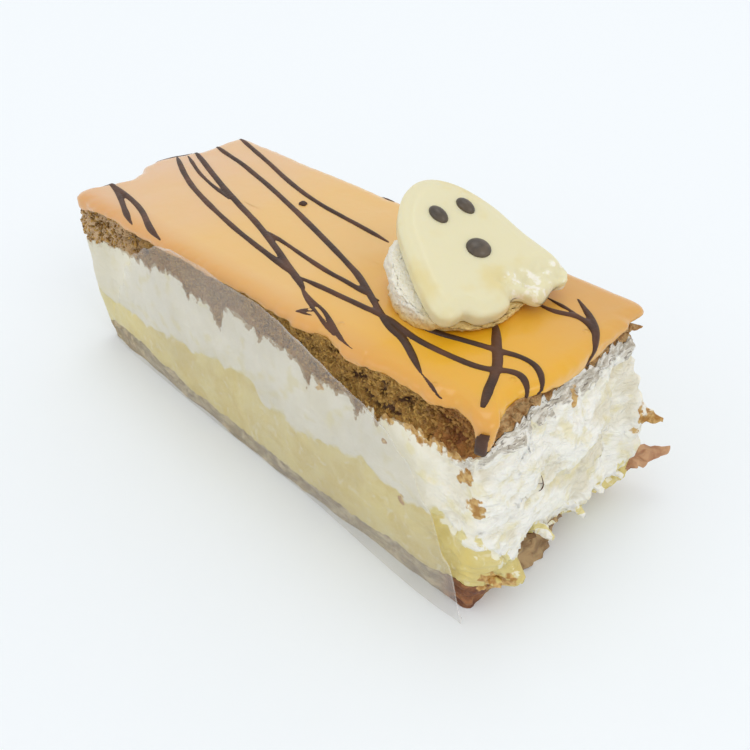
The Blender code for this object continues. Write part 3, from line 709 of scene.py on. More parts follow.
def strand_path(points, icing):
    """A strand's way over the icing, as points on its surface with the surface's normals."""
    guide = []
    for point in points:
        height = point[2] * MM if len(point) == 3 else top_height(point[0] * MM)
        guide.append(Vector((point[0] * MM, point[1] * MM, height)))
    path = [icing.find_nearest(point)[:2] for point in through(guide, STRAND_STEP)]
    for _ in range(3):
        inner = []
        for before, here, after in zip(path, path[1:], path[2:]):
            inner.append(tuple((before[index] + 2 * here[index] + after[index]) / 4 for index in (0, 1)))
        path[1:-1] = inner
    return path


def new_tree(name, **inputs):
    """A geometry node tree with a Geometry input and output and the given named inputs."""
    tree = bpy.data.node_groups.new(name, "GeometryNodeTree")
    tree.interface.new_socket("Geometry", in_out="INPUT", socket_type="NodeSocketGeometry")
    for label, kind in inputs.items():
        tree.interface.new_socket(label.replace("_", " "), in_out="INPUT", socket_type="NodeSocket" + kind)
    tree.interface.new_socket("Geometry", in_out="OUTPUT", socket_type="NodeSocketGeometry")
    return tree, tree.nodes.new("NodeGroupInput").outputs


def grow(host, tree, name, **values):
    """Run a geometry node tree on a host object and return its result as a plain mesh object."""
    growth = host.modifiers.new(tree.name, "NODES")
    growth.node_group = tree
    for socket in tree.interface.items_tree:
        label = socket.name.replace(" ", "_")
        if label in values:
            growth[socket.identifier] = values[label]
    view = bpy.context.evaluated_depsgraph_get()
    mesh = bpy.data.meshes.new_from_object(host.evaluated_get(view))
    host.modifiers.remove(growth)
    mesh.name = name
    return add_object(name, mesh)


def strand_tree():
    """Gives every edge path a round section, from its own radius attribute."""
    tree, given = new_tree("Strands", Material="Material")
    radius = add_node(tree, "GeometryNodeInputNamedAttribute", {"Name": "radius"}, data_type="FLOAT")
    curve = add_node(tree, "GeometryNodeMeshToCurve", {"Mesh": given["Geometry"]})
    ring = add_node(tree, "GeometryNodeCurvePrimitiveCircle", {"Resolution": STRAND_SIDES, "Radius": 1.0})
    tube = add_node(tree, "GeometryNodeCurveToMesh", {
        "Curve": curve.outputs["Curve"], "Profile Curve": ring.outputs["Curve"],
        "Scale": radius.outputs["Attribute"], "Fill Caps": True})
    real = add_node(tree, "GeometryNodeRealizeInstances", {"Geometry": tube.outputs["Mesh"]})
    made = add_node(tree, "GeometryNodeSetMaterial", {
        "Geometry": real.outputs["Geometry"], "Material": given["Material"]})
    add_node(tree, "NodeGroupOutput", {"Geometry": made.outputs["Geometry"]})
    return tree


def apply_modifier(item, kind, **settings):
    """Apply one modifier to a mesh object."""
    modifier = item.modifiers.new(kind.title(), kind)
    for name, value in settings.items():
        setattr(modifier, name, value)
    view = bpy.context.evaluated_depsgraph_get()
    mesh = bpy.data.meshes.new_from_object(item.evaluated_get(view))
    item.modifiers.clear()
    item.data = mesh


def make_strands(name, strands, surface, material, voxel, rise=STRAND_PART):
    """Strands that lie on a surface, melted together where they cross."""
    points = []
    edges = []
    sizes = []
    for index, (radius, *guide) in enumerate(strands):
        path = strand_path(guide, surface)
        edges += [(len(points) + step, len(points) + step + 1) for step in range(len(path) - 1)]
        for step, (spot, normal) in enumerate(path):
            swell = 1 + 0.22 * noise.noise(Vector((step * 0.09, index * 7.3, 0)))
            taper = min(1.0, 0.35 + 0.07 * min(step, len(path) - 1 - step))
            size = radius * MM * swell * taper
            sizes.append(size)
            points.append(spot + normal * (min(STRAND_RISE, rise * size) - size))
    mesh = bpy.data.meshes.new("strand_paths")
    mesh.from_pydata(points, edges, [])
    host = add_object("strand_paths", mesh)
    set_attribute(host, "radius", sizes)
    item = grow(host, strand_tree(), name, Material=material)
    bpy.data.objects.remove(host, do_unlink=True)
    apply_modifier(item, "REMESH", mode="VOXEL", voxel_size=voxel, adaptivity=0.0, use_smooth_shade=True)
    apply_modifier(item, "SMOOTH", factor=0.5, iterations=4)
    item.data.shade_smooth()
    return item


def join(item, pieces):
    """Add other mesh objects to one mesh object."""
    bm = bmesh.new()
    bm.from_mesh(item.data)
    for piece in pieces:
        bm.from_mesh(piece.data)
        bpy.data.objects.remove(piece, do_unlink=True)
    bm.to_mesh(item.data)
    bm.free()
    item.data.shade_smooth()
    return item


def make_drizzle(icing, material):
    """The chocolate drizzle, its one spot, and the piece on the corner's drip."""
    x, y, radius, half_thick = (value * MM for value in SPOT)
    spot = Vector((x, y, top_height(x) + 0.3 * half_thick))
    dot = make_crumb("spot", 3.0, 16)
    dot.data.transform(Matrix.Translation(spot) @ Matrix.Diagonal((radius, 0.8 * radius, half_thick, 1)))
    guide = [Vector(place) * MM for place in CORNER_PIECE]
    rings = []
    for step, place in enumerate(through(guide, 0.4 * MM)):
        on, normal = icing.find_nearest(place)[:2]
        across = Vector((normal.y, -normal.x, 0)).normalized() * -1.0
        end = min(1.0, 0.72 + 0.14 * step)
        ring = []
        for turn in range(16):
            angle = -2 * math.pi * turn / 16
            wide = 0.95 * MM * end * math.copysign(abs(math.cos(angle)) ** 0.6, math.cos(angle))
            ring.append(on + across * wide + normal * (0.1 * MM + 0.5 * MM * math.sin(angle)))
        rings.append(ring)
    bar = loft("corner_piece", rings)
    return join(make_strands("drizzle", STRANDS, icing, material, DRIZZLE_VOXEL), [dot, bar])


def make_crumb(name, seed, count):
    """One irregular crumb of unit size, with count points around it."""
    rings = []
    for row in range(count // 2):
        rise = -math.cos(math.pi * (row + 0.5) / (count // 2))
        around = math.sqrt(1 - rise * rise)
        ring = []
        for turn in range(count):
            angle = 2 * math.pi * turn / count
            way = Vector((math.cos(angle), math.sin(angle), 0))
            rim = around * (1 + 0.45 * noise.noise(way * 1.3 + Vector((seed, 0, 0))))
            ring.append(Vector((way.x * rim, way.y * rim, rise)))
        rings.append(ring)
    return loft(name, rings)


def crumb_tree():
    """Scatters crumbs over the faces of a host, thick where its attribute loose is high."""
    tree, given = new_tree(
        "Crumbs", Crumb="Object", Density="Float", Smallest="Float", Largest="Float", Seed="Int",
        Material="Material")
    loose = add_node(tree, "GeometryNodeInputNamedAttribute", {"Name": "loose"}, data_type="FLOAT")
    density = add_node(tree, "ShaderNodeMath", {0: loose.outputs["Attribute"], 1: given["Density"]},
                       operation="MULTIPLY")
    points = add_node(tree, "GeometryNodeDistributePointsOnFaces", {
        "Mesh": given["Geometry"], "Density": density.outputs["Value"], "Seed": given["Seed"]})
    crumb = add_node(tree, "GeometryNodeObjectInfo", {"Object": given["Crumb"]})
    size = add_node(tree, "FunctionNodeRandomValue", {
        2: given["Smallest"], 3: given["Largest"], "Seed": given["Seed"]}, data_type="FLOAT")
    placed = add_node(tree, "GeometryNodeInstanceOnPoints", {
        "Points": points.outputs["Points"], "Instance": crumb.outputs["Geometry"],
        "Rotation": points.outputs["Rotation"], "Scale": size.outputs[1]})
    spin = add_node(tree, "FunctionNodeRandomValue", {
        0: (-0.7, -0.7, 0.0), 1: (0.7, 0.7, 6.28), "Seed": given["Seed"]}, data_type="FLOAT_VECTOR")
    turned = add_node(tree, "GeometryNodeRotateInstances", {
        "Instances": placed.outputs["Instances"], "Rotation": spin.outputs[0]})
    real = add_node(tree, "GeometryNodeRealizeInstances", {"Geometry": turned.outputs["Instances"]})
    made = add_node(tree, "GeometryNodeSetMaterial", {
        "Geometry": real.outputs["Geometry"], "Material": given["Material"]})
    add_node(tree, "NodeGroupOutput", {"Geometry": made.outputs["Geometry"]})
    return tree


def make_crumbs(pastry, material):
    """Loose leaf crumbs over the top pastry's broken side."""
    loose = []
    for vertex in pastry.data.vertices:
        x, y, z = vertex.co
        foot = plane_height(3, x)
        wall = smooth(-y, 16.5 * MM, 18 * MM) * smooth(z, foot - 1 * MM, foot + 1 * MM)
        bare = smooth(x, -3 * MM, 14 * MM) + smooth(-x, 34 * MM, 40 * MM)
        patch = smooth(noise.noise(vertex.co / (3 * MM)), -0.3, 0.3)
        loose.append(wall * bare * mix(0.3, 1.0, patch) * smooth(plane_height(4, x) - z, 0.2 * MM, 1.0 * MM))
    set_attribute(pastry, "loose", loose)
    crumb = make_crumb("crumb", 2.0, 10)
    crumb.data.transform(Matrix.Diagonal((1.0, 0.8, 0.45, 1)))
    item = grow(pastry, crumb_tree(), "pastry_crumbs", Crumb=crumb, Density=CRUMB_DENSITY,
                Smallest=CRUMB_SMALLEST, Largest=CRUMB_LARGEST, Seed=CRUMB_SEED, Material=material)
    bpy.data.objects.remove(crumb, do_unlink=True)
    item.data.shade_smooth()
    return item


def ghost_matrix():
    """From the plate's plane, across, along to the head and out, to the slice."""
    across = Vector((math.cos(GHOST_TURN), math.sin(GHOST_TURN), 0))
    level = Vector((-across.y, across.x, 0))
    head = math.cos(GHOST_TILT) * level + math.sin(GHOST_TILT) * Vector((0, 0, 1))
    out = across.cross(head)
    turned = Matrix((across, head, out)).transposed().to_4x4()
    return Matrix.Translation(GHOST_FOOT) @ turned


def closed_curve(points, per_side):
    """Points on a closed smooth curve through the given ones."""
    count = len(points)
    result = []
    for index in range(count):
        before, start, end, after = (points[(index + shift) % count] for shift in (-1, 0, 1, 2))
        result += [curve_spot(before, start, end, after, step / per_side) for step in range(per_side)]
    return result


def outline_distance(outline, u, v):
    """Distance from a point in the plate's plane to the nearest side of its outline."""
    spot = Vector((u, v))
    nearest = 1.0
    for start, end in zip(outline, outline[1:] + outline[:1]):
        side = end - start
        part = max(0.0, min(1.0, (spot - start).dot(side) / side.length_squared))
        nearest = min(nearest, (start + side * part - spot).length)
    return nearest


def make_ghost():
    """The moulded plate: full round edges, a gently domed face and a broken, creamy corner of the hem."""
    outline = closed_curve([Vector(point) * MM for point in reversed(GHOST_OUTLINE)], 5)
    rings = []
    for height in (0.0, GHOST_THICK):
        rings.append([Vector((point.x, point.y, height)) for point in outline])
    item = loft("ghost_plate", rings)
    apply_modifier(
        item, "REMESH", mode="VOXEL", voxel_size=GHOST_VOXEL, adaptivity=0.0, use_smooth_shade=True)
    apply_modifier(item, "SMOOTH", factor=0.5, iterations=3)
    middle = GHOST_THICK * 0.5
    for vertex in item.data.vertices:
        u, v, w = vertex.co
        edge = min(1.0, outline_distance(outline, u, v) / GHOST_ROUND)
        full = math.sqrt(max(0.0, 1 - (1 - edge) ** 2))
        dome = 0.25 * MM * smooth(edge, 0.6, 1.0)
        ragged_part = smooth(u, -4.5 * MM, -1.5 * MM) * (1 - smooth(v, 0.5 * MM, 3.5 * MM))
        lumps = 0.8 * MM * grain(u, v, 0, 2.6 * MM, 61.0)
        rough = (lumps + 0.3 * MM * grain(u, v, 0, 1.0 * MM, 63.0)) * ragged_part
        height = middle + (w - middle) * mix(0.42, 1.0, full)
        if w > middle:
            height = height + dome + rough - 0.9 * MM * ragged_part
        vertex.co.z = height
    broken = []
    for vertex in item.data.vertices:
        u, v, w = vertex.co
        broken.append(smooth(u, -4.0 * MM, -1.0 * MM) * (1 - smooth(v, 0.5 * MM, 4.0 * MM)))
    set_attribute(item, "broken", broken)
    item.data.transform(ghost_matrix())
    apply_modifier(item, "SMOOTH", factor=0.5, iterations=3)
    item.data.shade_smooth()
    return item


def make_face(ghost):
    """Two eyes and a mouth: round chocolate drops that sit on the plate's face."""
    tree = surface_tree(ghost)
    place = ghost_matrix()
    way = place.to_3x3() @ Vector((0, 0, -1))
    bm = bmesh.new()
    for across, along_plate, half_width, half_length, lean in GHOST_DROPS:
        above = place @ Vector((across * MM, along_plate * MM, 20 * MM))
        spot = tree.ray_cast(above, way)[0]
        size = Matrix.Diagonal((half_width * MM, half_length * MM, DROP_HEIGHT, 1.0))
        turn = Matrix.Rotation(math.radians(lean), 4, "Z")
        drop = bmesh.ops.create_uvsphere(bm, u_segments=40, v_segments=24, radius=1.0)
        whole = Matrix.Translation(spot) @ place.to_3x3().to_4x4() @ turn @ size
        bmesh.ops.transform(bm, matrix=whole, verts=drop["verts"])
    return finish_mesh("face_drops", bm)


def make_dollop():
    """Rough whipped cream between the icing and the ghost's back."""
    plate = ghost_matrix()
    to_plate = plate.inverted()
    bm = bmesh.new()
    bmesh.ops.create_icosphere(bm, subdivisions=6, radius=1.0)
    for vertex in bm.verts:
        way = vertex.co.copy()
        spot = DOLLOP_CENTRE + Vector((way.x * DOLLOP_SIZE.x, way.y * DOLLOP_SIZE.y, way.z * DOLLOP_SIZE.z))
        lumps = 0.9 * MM * grain(way.x, way.y, way.z, 0.55, 31.0)
        froth = 0.5 * MM * creased(spot, 2.2 * MM, 33.0, 4) + 0.22 * MM * grain(*spot, 0.8 * MM, 35.0)
        spot += way * (lumps + froth - 0.4 * MM)
        spot.z = max(spot.z, top_height(spot.x) + 0.02 * MM)
        local = to_plate @ spot
        local.z = min(local.z, 0.3 * MM)
        vertex.co = plate @ local
    return finish_mesh("whipped_dollop", bm)


def film_point(x, height, part):
    """A point of the film sheet: it follows the side's bow and splays out at its foot by the torn end."""
    low = max(0.0, 1 - height / (26 * MM))
    bow = FILM_BOW * math.cos(math.pi * x / LENGTH) ** 0.5 if abs(x) < LENGTH / 2 else 0.0
    bow -= FILM_TUCK * low * (1 - smooth(part, 0.5, 0.9))
    splay = FILM_SPLAY * low ** 2 * smooth(part, 0.6, 1.0)
    ripple = 0.10 * MM * grain(x, height, 0, 12 * MM, 71.0) + 0.03 * MM * grain(x, height, 0, 3 * MM, 73.0)
    return Vector((x, -(WIDTH / 2 + FILM_STAND + bow + splay + ripple), height))


def make_film():
    """The clear film: a thin rippled sheet with a slanting top edge, closed all round."""
    across = FILM_COLUMNS
    up = FILM_ROWS
    points = []
    rims = []
    for side in (0, 1):
        for column in range(across + 1):
            part = column / across
            x = mix(FILM_START, FILM_END, part)
            top = along(FILM_LINE, part)
            for row in range(up + 1):
                height = mix(0.3 * MM, top, row / up)
                spot = film_point(x, height, part)
                spot.y += side * FILM_THICK
                points.append(spot)
                # The rim share, near the top and torn-end edges, carries the painted highlight along the cut
                # edge
                from_edge = min(top - height, (FILM_END - x) * 1.5) / MM
                rims.append(1 - smooth(from_edge, 0.15, 0.55))
    sheet = (across + 1) * (up + 1)
    faces = []
    for column in range(across):
        for row in range(up):
            corner = column * (up + 1) + row
            quad = (corner, corner + up + 1, corner + up + 2, corner + 1)
            faces.append(quad)
            faces.append(tuple(sheet + index for index in reversed(quad)))
    ring = [column * (up + 1) for column in range(across + 1)]
    ring += [across * (up + 1) + row for row in range(1, up + 1)]
    ring += [column * (up + 1) + up for column in range(across - 1, -1, -1)]
    ring += [row for row in range(up - 1, 0, -1)]
    for start, end in zip(ring, ring[1:] + ring[:1]):
        faces.append((end, start, sheet + start, sheet + end))
    mesh = bpy.data.meshes.new("film_sheet")
    mesh.from_pydata(points, [], faces)
    mesh.shade_smooth()
    item = add_object("film_sheet", mesh)
    set_attribute(item, "rim", rims)
    return item


def srgb(code, alpha=1.0):
    """Linear colour from an sRGB hex code."""
    values = [int(code[index:index + 2], 16) / 255 for index in (0, 2, 4)]
    linear = [value / 12.92 if value <= 0.04045 else ((value + 0.055) / 1.055) ** 2.4 for value in values]
    return (*linear, alpha)


def add_node(tree, kind, inputs=None, **settings):
    """Add a node with its settings, input values and links. A colour may be an sRGB hex code."""
    node = tree.nodes.new(kind)
    for name, value in settings.items():
        setattr(node, name, value)
    for name, value in (inputs or {}).items():
        if isinstance(value, bpy.types.NodeSocket):
            tree.links.new(value, node.inputs[name])
        elif isinstance(value, str) and node.inputs[name].type == "RGBA":
            node.inputs[name].default_value = srgb(value)
        else:
            node.inputs[name].default_value = value
    return node


def start_material(name, roughness, **sockets):
    """A Principled material with its object coordinates ready."""
    material = bpy.data.materials.new(name)
    material.use_nodes = True
    tree = material.node_tree
    shader = tree.nodes["Principled BSDF"]
    shader.inputs["Roughness"].default_value = roughness
    for socket, value in sockets.items():
        shader.inputs[socket.replace("_", " ")].default_value = value
    place = add_node(tree, "ShaderNodeTexCoord").outputs["Object"]
    return material, tree, shader, place


def finish_surface(tree, shader, colour, relief=None, depth=0.0, strength=1.0):
    """Give a shader its colour and its fine relief."""
    tree.links.new(colour, shader.inputs["Base Color"])
    if relief is not None:
        node = add_node(tree, "ShaderNodeBump", {"Height": relief, "Distance": depth, "Strength": strength})
        tree.links.new(node.outputs["Normal"], shader.inputs["Normal"])


def painted(tree, colour, *coats):
    """A colour with coats laid over it in turn, each given by its share, from 0 to 1, and its own colour."""
    for share, coat in coats:
        colour = add_node(tree, "ShaderNodeMix", {0: share, 6: colour, 7: coat}, data_type="RGBA").outputs[2]
    return colour


def noise_share(tree, place, size, low, high, detail=3.0, distortion=0.0, least=0.0, most=1.0):
    """A noise pattern of bumps of a real size, stretched to run from least at low to most at high."""
    pattern = add_node(tree, "ShaderNodeTexNoise", {
        "Vector": place, "Scale": 1 / size, "Detail": detail, "Distortion": distortion})
    return add_node(tree, "ShaderNodeMapRange", {
        "Value": pattern.outputs["Fac"], "From Min": low, "From Max": high, "To Min": least, "To Max": most,
    }, interpolation_type="SMOOTHSTEP").outputs["Result"]


def attribute_share(tree, name, low, high, least=0.0, most=1.0):
    """How far an attribute has come from low to high, from least to most."""
    value = add_node(tree, "ShaderNodeAttribute", attribute_name=name).outputs["Fac"]
    return add_node(tree, "ShaderNodeMapRange", {
        "Value": value, "From Min": low, "From Max": high, "To Min": least, "To Max": most,
    }, interpolation_type="SMOOTHSTEP").outputs["Result"]


def place_share(tree, place, axis, low, high, least=0.0, most=1.0, soft=False):
    """How far a spot has come from low to high along an axis, from least to most."""
    parts = add_node(tree, "ShaderNodeSeparateXYZ", {"Vector": place})
    return add_node(tree, "ShaderNodeMapRange", {
        "Value": parts.outputs[axis], "From Min": low, "From Max": high, "To Min": least, "To Max": most,
    }, interpolation_type="SMOOTHSTEP" if soft else "LINEAR").outputs["Result"]


def by_far_corner(tree, place, start, end, share):
    """How much a spot belongs to the far end's filmed corner: 0 at start and share at end lengthways."""
    lengthways = place_share(tree, place, "X", start, end, most=share)
    to_film = place_share(tree, place, "Y", 8 * MM, -10 * MM)
    both = add_node(tree, "ShaderNodeMath", {0: lengthways, 1: to_film}, operation="MULTIPLY")
    return both.outputs["Value"]


def patchy_edge(tree, place, name, reach, size, shift=0.5, most=1.0):
    """Most at a layer's line and 0 beyond about reach mm of it, along a blotchy border."""
    distance = add_node(tree, "ShaderNodeAttribute", attribute_name=name).outputs["Fac"]
    border = noise_share(
        tree, place, size, 0.30, 0.70, 4.0, least=(shift - 0.5) * reach, most=(shift + 0.5) * reach)
    inside = add_node(tree, "ShaderNodeMath", {0: border, 1: distance}, operation="SUBTRACT")
    return add_node(tree, "ShaderNodeMapRange", {
        "Value": inside.outputs["Value"], "From Min": -0.25, "From Max": 0.45, "To Max": most,
    }, interpolation_type="SMOOTHSTEP").outputs["Result"]


def filling_border(tree, place, name, side):
    """Share of the other filling's colour near the line between custard and cream.

    Both materials read the same pattern with opposite sides, so the colours meet along one blotchy border.
    """
    distance = add_node(tree, "ShaderNodeAttribute", attribute_name=name).outputs["Fac"]
    blotch = noise_share(
        tree, place, 3.2 * MM, 0.30, 0.70, 5.0, 0.6, least=-0.5 * side, most=0.5 * side)
    # In mm: the border wanders further where the fillings were torn
    reach = attribute_share(tree, "torn", 0.2, 0.9, least=1.6, most=6.6)
    border = add_node(tree, "ShaderNodeMath", {0: blotch, 1: reach}, operation="MULTIPLY")
    inside = add_node(tree, "ShaderNodeMath", {
        0: border.outputs["Value"], 1: distance}, operation="SUBTRACT")
    return add_node(tree, "ShaderNodeMapRange", {
        "Value": inside.outputs["Value"], "From Min": -0.5, "From Max": 0.5,
    }, interpolation_type="SMOOTHSTEP").outputs["Result"]


def with_amber(tree, place, colour):
    """A layer's colour with the buttery, half see-through pastry smeared on it."""
    trace = add_node(tree, "ShaderNodeAttribute", attribute_name="amber").outputs["Fac"]
    ragged_edge = noise_share(tree, place, 1.5 * MM, 0.30, 0.70, most=0.6)
    inside = add_node(tree, "ShaderNodeMath", {0: trace, 1: ragged_edge}, operation="SUBTRACT")
    share = add_node(tree, "ShaderNodeMapRange", {
        "Value": inside.outputs["Value"], "From Min": 0.02, "From Max": 0.18})
    amber = painted(tree, "AE7C34", (noise_share(tree, place, 1.1 * MM, 0.36, 0.64), "D8B472"))
    return painted(tree, colour, (share.outputs["Result"], amber))


def icing_material():
    """Poured fondant: sugar icing that sets smooth, so it has a wet gloss and glows at its edges."""
    material, tree, shader, place = start_material(
        "poured_fondant", 0.34, Subsurface_Weight=0.18, Subsurface_Scale=0.0015,
        Subsurface_Radius=(1.0, 0.55, 0.25), Coat_Weight=0.55, Coat_Roughness=0.10)
    parts = add_node(tree, "ShaderNodeSeparateXYZ", {"Vector": place})
    wobble = noise_share(tree, place, 22 * MM, 0.3, 0.7, most=16 * MM)
    shifted = add_node(tree, "ShaderNodeMath", {0: parts.outputs["X"], 1: wobble}, operation="ADD")
    # The colour deepens from pale pink at the far end to orange at the torn end; the far end's paleness is
    # partly the icing's own tone and partly a painted sheen of the gloss at a grazing angle
    to_middle, to_near = [add_node(tree, "ShaderNodeMapRange", {
        "Value": shifted.outputs["Value"], "From Min": start, "From Max": end,
    }).outputs["Result"] for start, end in ((-50 * MM, -5 * MM), (12 * MM, 40 * MM))]
    near = painted(tree, "E8AC1A", (place_share(tree, place, "Y", -2 * MM, 16 * MM), "DAA34E"))
    # Painted shade: a darker amber towards the filmed side's edge
    to_film = place_share(tree, place, "Y", -16 * MM, -21.5 * MM, most=0.8)
    colour = painted(tree, "E2B88C", (to_middle, "E7B96A"), (to_near, near), (to_film, "DA9C50"))
    height = noise_share(tree, place, 3 * MM, 0.3, 0.7, most=0.15)
    for bubble in BUBBLES:
        away = add_node(tree, "ShaderNodeVectorMath", {
            0: place, 1: Vector(bubble) * MM}, operation="DISTANCE")
        dome = add_node(tree, "ShaderNodeMapRange", {
            "Value": away.outputs["Value"], "From Min": 0.75 * MM, "From Max": 0.1 * MM,
        }, interpolation_type="SMOOTHSTEP")
        height = add_node(tree, "ShaderNodeMath", {
            0: height, 1: dome.outputs["Result"]}, operation="ADD").outputs["Value"]
    finish_surface(tree, shader, colour, height, 0.3 * MM, 0.6)
    return material


def chocolate_material():
    """Dark chocolate drizzle: thin compound chocolate with a satin gloss."""
    material, tree, shader, place = start_material(
        "dark_chocolate_drizzle", 0.45, Specular_IOR_Level=0.3, Coat_Weight=0.06, Coat_Roughness=0.3)
    colour = painted(tree, "3E281A", (noise_share(tree, place, 6 * MM, 0.35, 0.7), "5C3A26"))
    finish_surface(tree, shader, colour, noise_share(tree, place, 1.2 * MM, 0.3, 0.7), 0.08 * MM, 0.6)
    return material


def pastry_material():
    """Baked puff pastry: hundreds of thin leaves with open pores, tan on crests, with painted shade
    darkening the pits to brown.
    """
    material, tree, shader, place = start_material(
        "baked_puff_pastry", 0.75, Subsurface_Weight=0.05, Subsurface_Scale=0.001)
    crumbs = noise_share(tree, place, 0.55 * MM, 0.42, 0.66, 4.0)
    patches = noise_share(tree, place, 5 * MM, 0.35, 0.68)
    dark = painted(tree, "50340E", (patches, "54300E"))
    pale = painted(tree, "A47640", (noise_share(tree, place, 1.6 * MM, 0.38, 0.62, 4.0), "CCA874"))
    # The pits take a dark brown painted shade from their depth
    colour = painted(
        tree, "8E6822",
        (patches, "A27430"),
        (crumbs, "BE9446"),
        (attribute_share(tree, "pore", 0.2, 0.85), dark),
        (patchy_edge(tree, place, "low", 1.8, 1.6 * MM, most=0.6), "A0702A"),
        # Redder and darker towards the near corner: painted shade of the hollow beside it
        (place_share(tree, place, "X", 41 * MM, 48 * MM, most=0.5, soft=True), "9A5A28"),
        (by_far_corner(tree, place, -32 * MM, -46 * MM, 0.9), "D4B48C"),
        (attribute_share(tree, "torn", 0.75, 0.95), pale))
    finish_surface(tree, shader, colour, crumbs, 0.25 * MM, 0.8)
    return material


def base_material():
    """The base sheet: dense baked pastry, moist and darker than the top one, and browned at its corners."""
    material, tree, shader, place = start_material(
        "moist_base_pastry", 0.55, Subsurface_Weight=0.08, Subsurface_Scale=0.0015)
    flat = add_node(tree, "ShaderNodeMapping", {"Vector": place, "Scale": (1.0, 1.0, 1.6)})
    leaves = noise_share(tree, flat.outputs["Vector"], 3.0 * MM, 0.35, 0.65, 4.0, 0.5)
    torn_tan = painted(tree, "80603A", (leaves, "B4966A"))
    tan = painted(
        tree, "A08E68",
        (noise_share(tree, place, 8 * MM, 0.35, 0.70), "927E5E"),
        (leaves, "CCBA92"),
        (noise_share(tree, place, 1.0 * MM, 0.40, 0.66, 4.0, most=0.4), "76603E"),
        (attribute_share(tree, "torn", 0.6, 0.95), torn_tan))
    rosy = painted(tree, "A06E4C", (leaves, "C89C74"))
    brown = painted(tree, "6A3C22", (leaves, "A06A3E"), (place_share(tree, place, "Y", 0.0, 15 * MM), rosy))
    parts = add_node(tree, "ShaderNodeSeparateXYZ", {"Vector": place})
    sideways = add_node(tree, "ShaderNodeMath", {0: parts.outputs["Y"]}, operation="ABSOLUTE")
    by_side = add_node(tree, "ShaderNodeMapRange", {
        "Value": sideways.outputs["Value"], "From Min": 15 * MM, "From Max": 18 * MM,
    }, interpolation_type="SMOOTHSTEP")
    by_end = place_share(tree, place, "X", 47 * MM, 54 * MM, soft=True)
    corners = add_node(tree, "ShaderNodeMath", {
        0: by_end, 1: by_side.outputs["Result"]}, operation="MULTIPLY")
    colour = with_amber(tree, place, painted(tree, tan, (corners.outputs["Value"], brown)))
    finish_surface(tree, shader, colour, leaves, 0.4 * MM, 0.7)
    return material


def cream_material():
    """Whipped cream: white and full of tiny air bubbles, so light soaks in and shadows stay soft."""
    material, tree, shader, place = start_material(
        "whipped_cream", 0.5, Subsurface_Weight=0.25, Subsurface_Scale=0.0012,
        Subsurface_Radius=(1.0, 0.9, 0.7))
    torn = attribute_share(tree, "torn", 0.4, 0.9)
    pressed = attribute_share(tree, "torn", 0.4, 0.9, least=1.0, most=0.0)
    # Under the pastry at the torn end the cream is a crinkled smear: painted shade greys it, with painted
    # glints and dark painted shade lines along its crinkles
    mapping = add_node(tree, "ShaderNodeMapping", {"Vector": place, "Scale": (1.0, 0.3, 1.2)})
    streaked = mapping.outputs["Vector"]
    smear_shade_and_glints = painted(
        tree, "C2B9A8",
        (noise_share(tree, streaked, 1.1 * MM, 0.40, 0.62, 4.0, 0.8), "F1EDE2"),
        (noise_share(tree, streaked, 0.7 * MM, 0.56, 0.64, 2.0, 1.5, most=0.75), "7E7262"))
    band = add_node(tree, "ShaderNodeMath", {
        0: torn, 1: patchy_edge(tree, place, "high", 2.2, 3 * MM, 1.5)}, operation="MULTIPLY")
    smear = add_node(tree, "ShaderNodeMath", {
        0: pressed, 1: patchy_edge(tree, place, "high", 1.6, 1.4 * MM)}, operation="MULTIPLY")
    colour = painted(
        tree, "F2EDDB",
        (noise_share(tree, place, 6 * MM, 0.4, 0.7), "ECE6CF"),
        (torn, "FAF7EC"),
        # Painted shade, greyer and yellower, deep in the torn folds
        (attribute_share(tree, "pore", 0.35, 1.0, most=0.6), "DCD1B0"),
        (noise_share(tree, place, 3.5 * MM, 0.52, 0.70, 4.0, most=0.6), "E9DEA8"),
        (filling_border(tree, place, "low", 1.0), "E8DB9C"),
        (band.outputs["Value"], smear_shade_and_glints),
        (smear.outputs["Value"], "B09468"),
        (by_far_corner(tree, place, -36 * MM, -50 * MM, 0.8), "D6D0BA"))
    drawn = add_node(tree, "ShaderNodeMapping", {
        "Vector": place, "Scale": (1.0, 0.5, 1.3), "Rotation": (0.3, 0.0, 0.0)})
    froth = noise_share(tree, drawn.outputs["Vector"], 1.3 * MM, 0.3, 0.7, 6.0, 0.5)
    relief = add_node(tree, "ShaderNodeMath", {
        0: froth, 1: attribute_share(tree, "torn", 0.4, 0.9, least=0.25, most=1.25)}, operation="MULTIPLY")
    finish_surface(tree, shader, with_amber(tree, place, colour), relief.outputs["Value"], 0.30 * MM, 0.8)
    return material


def dollop_material():
    """The dollop's whipped cream, loose and grainy, with a yellow tinge at its foot."""
    material, tree, shader, place = start_material(
        "loose_whipped_cream", 0.5, Subsurface_Weight=0.30, Subsurface_Scale=0.0010,
        Subsurface_Radius=(1.0, 0.9, 0.7))
    to_hem = place_share(tree, place, "X", 31 * MM, 36 * MM)
    foot = place_share(tree, place, "Z", 45.5 * MM, 43.2 * MM)
    colour = painted(tree, "F0ECDC", (to_hem, "E8D69C"), (foot, "E8C274"))
    finish_surface(tree, shader, colour, noise_share(tree, place, 0.9 * MM, 0.3, 0.7, 4.0), 0.25 * MM, 0.9)
    return material


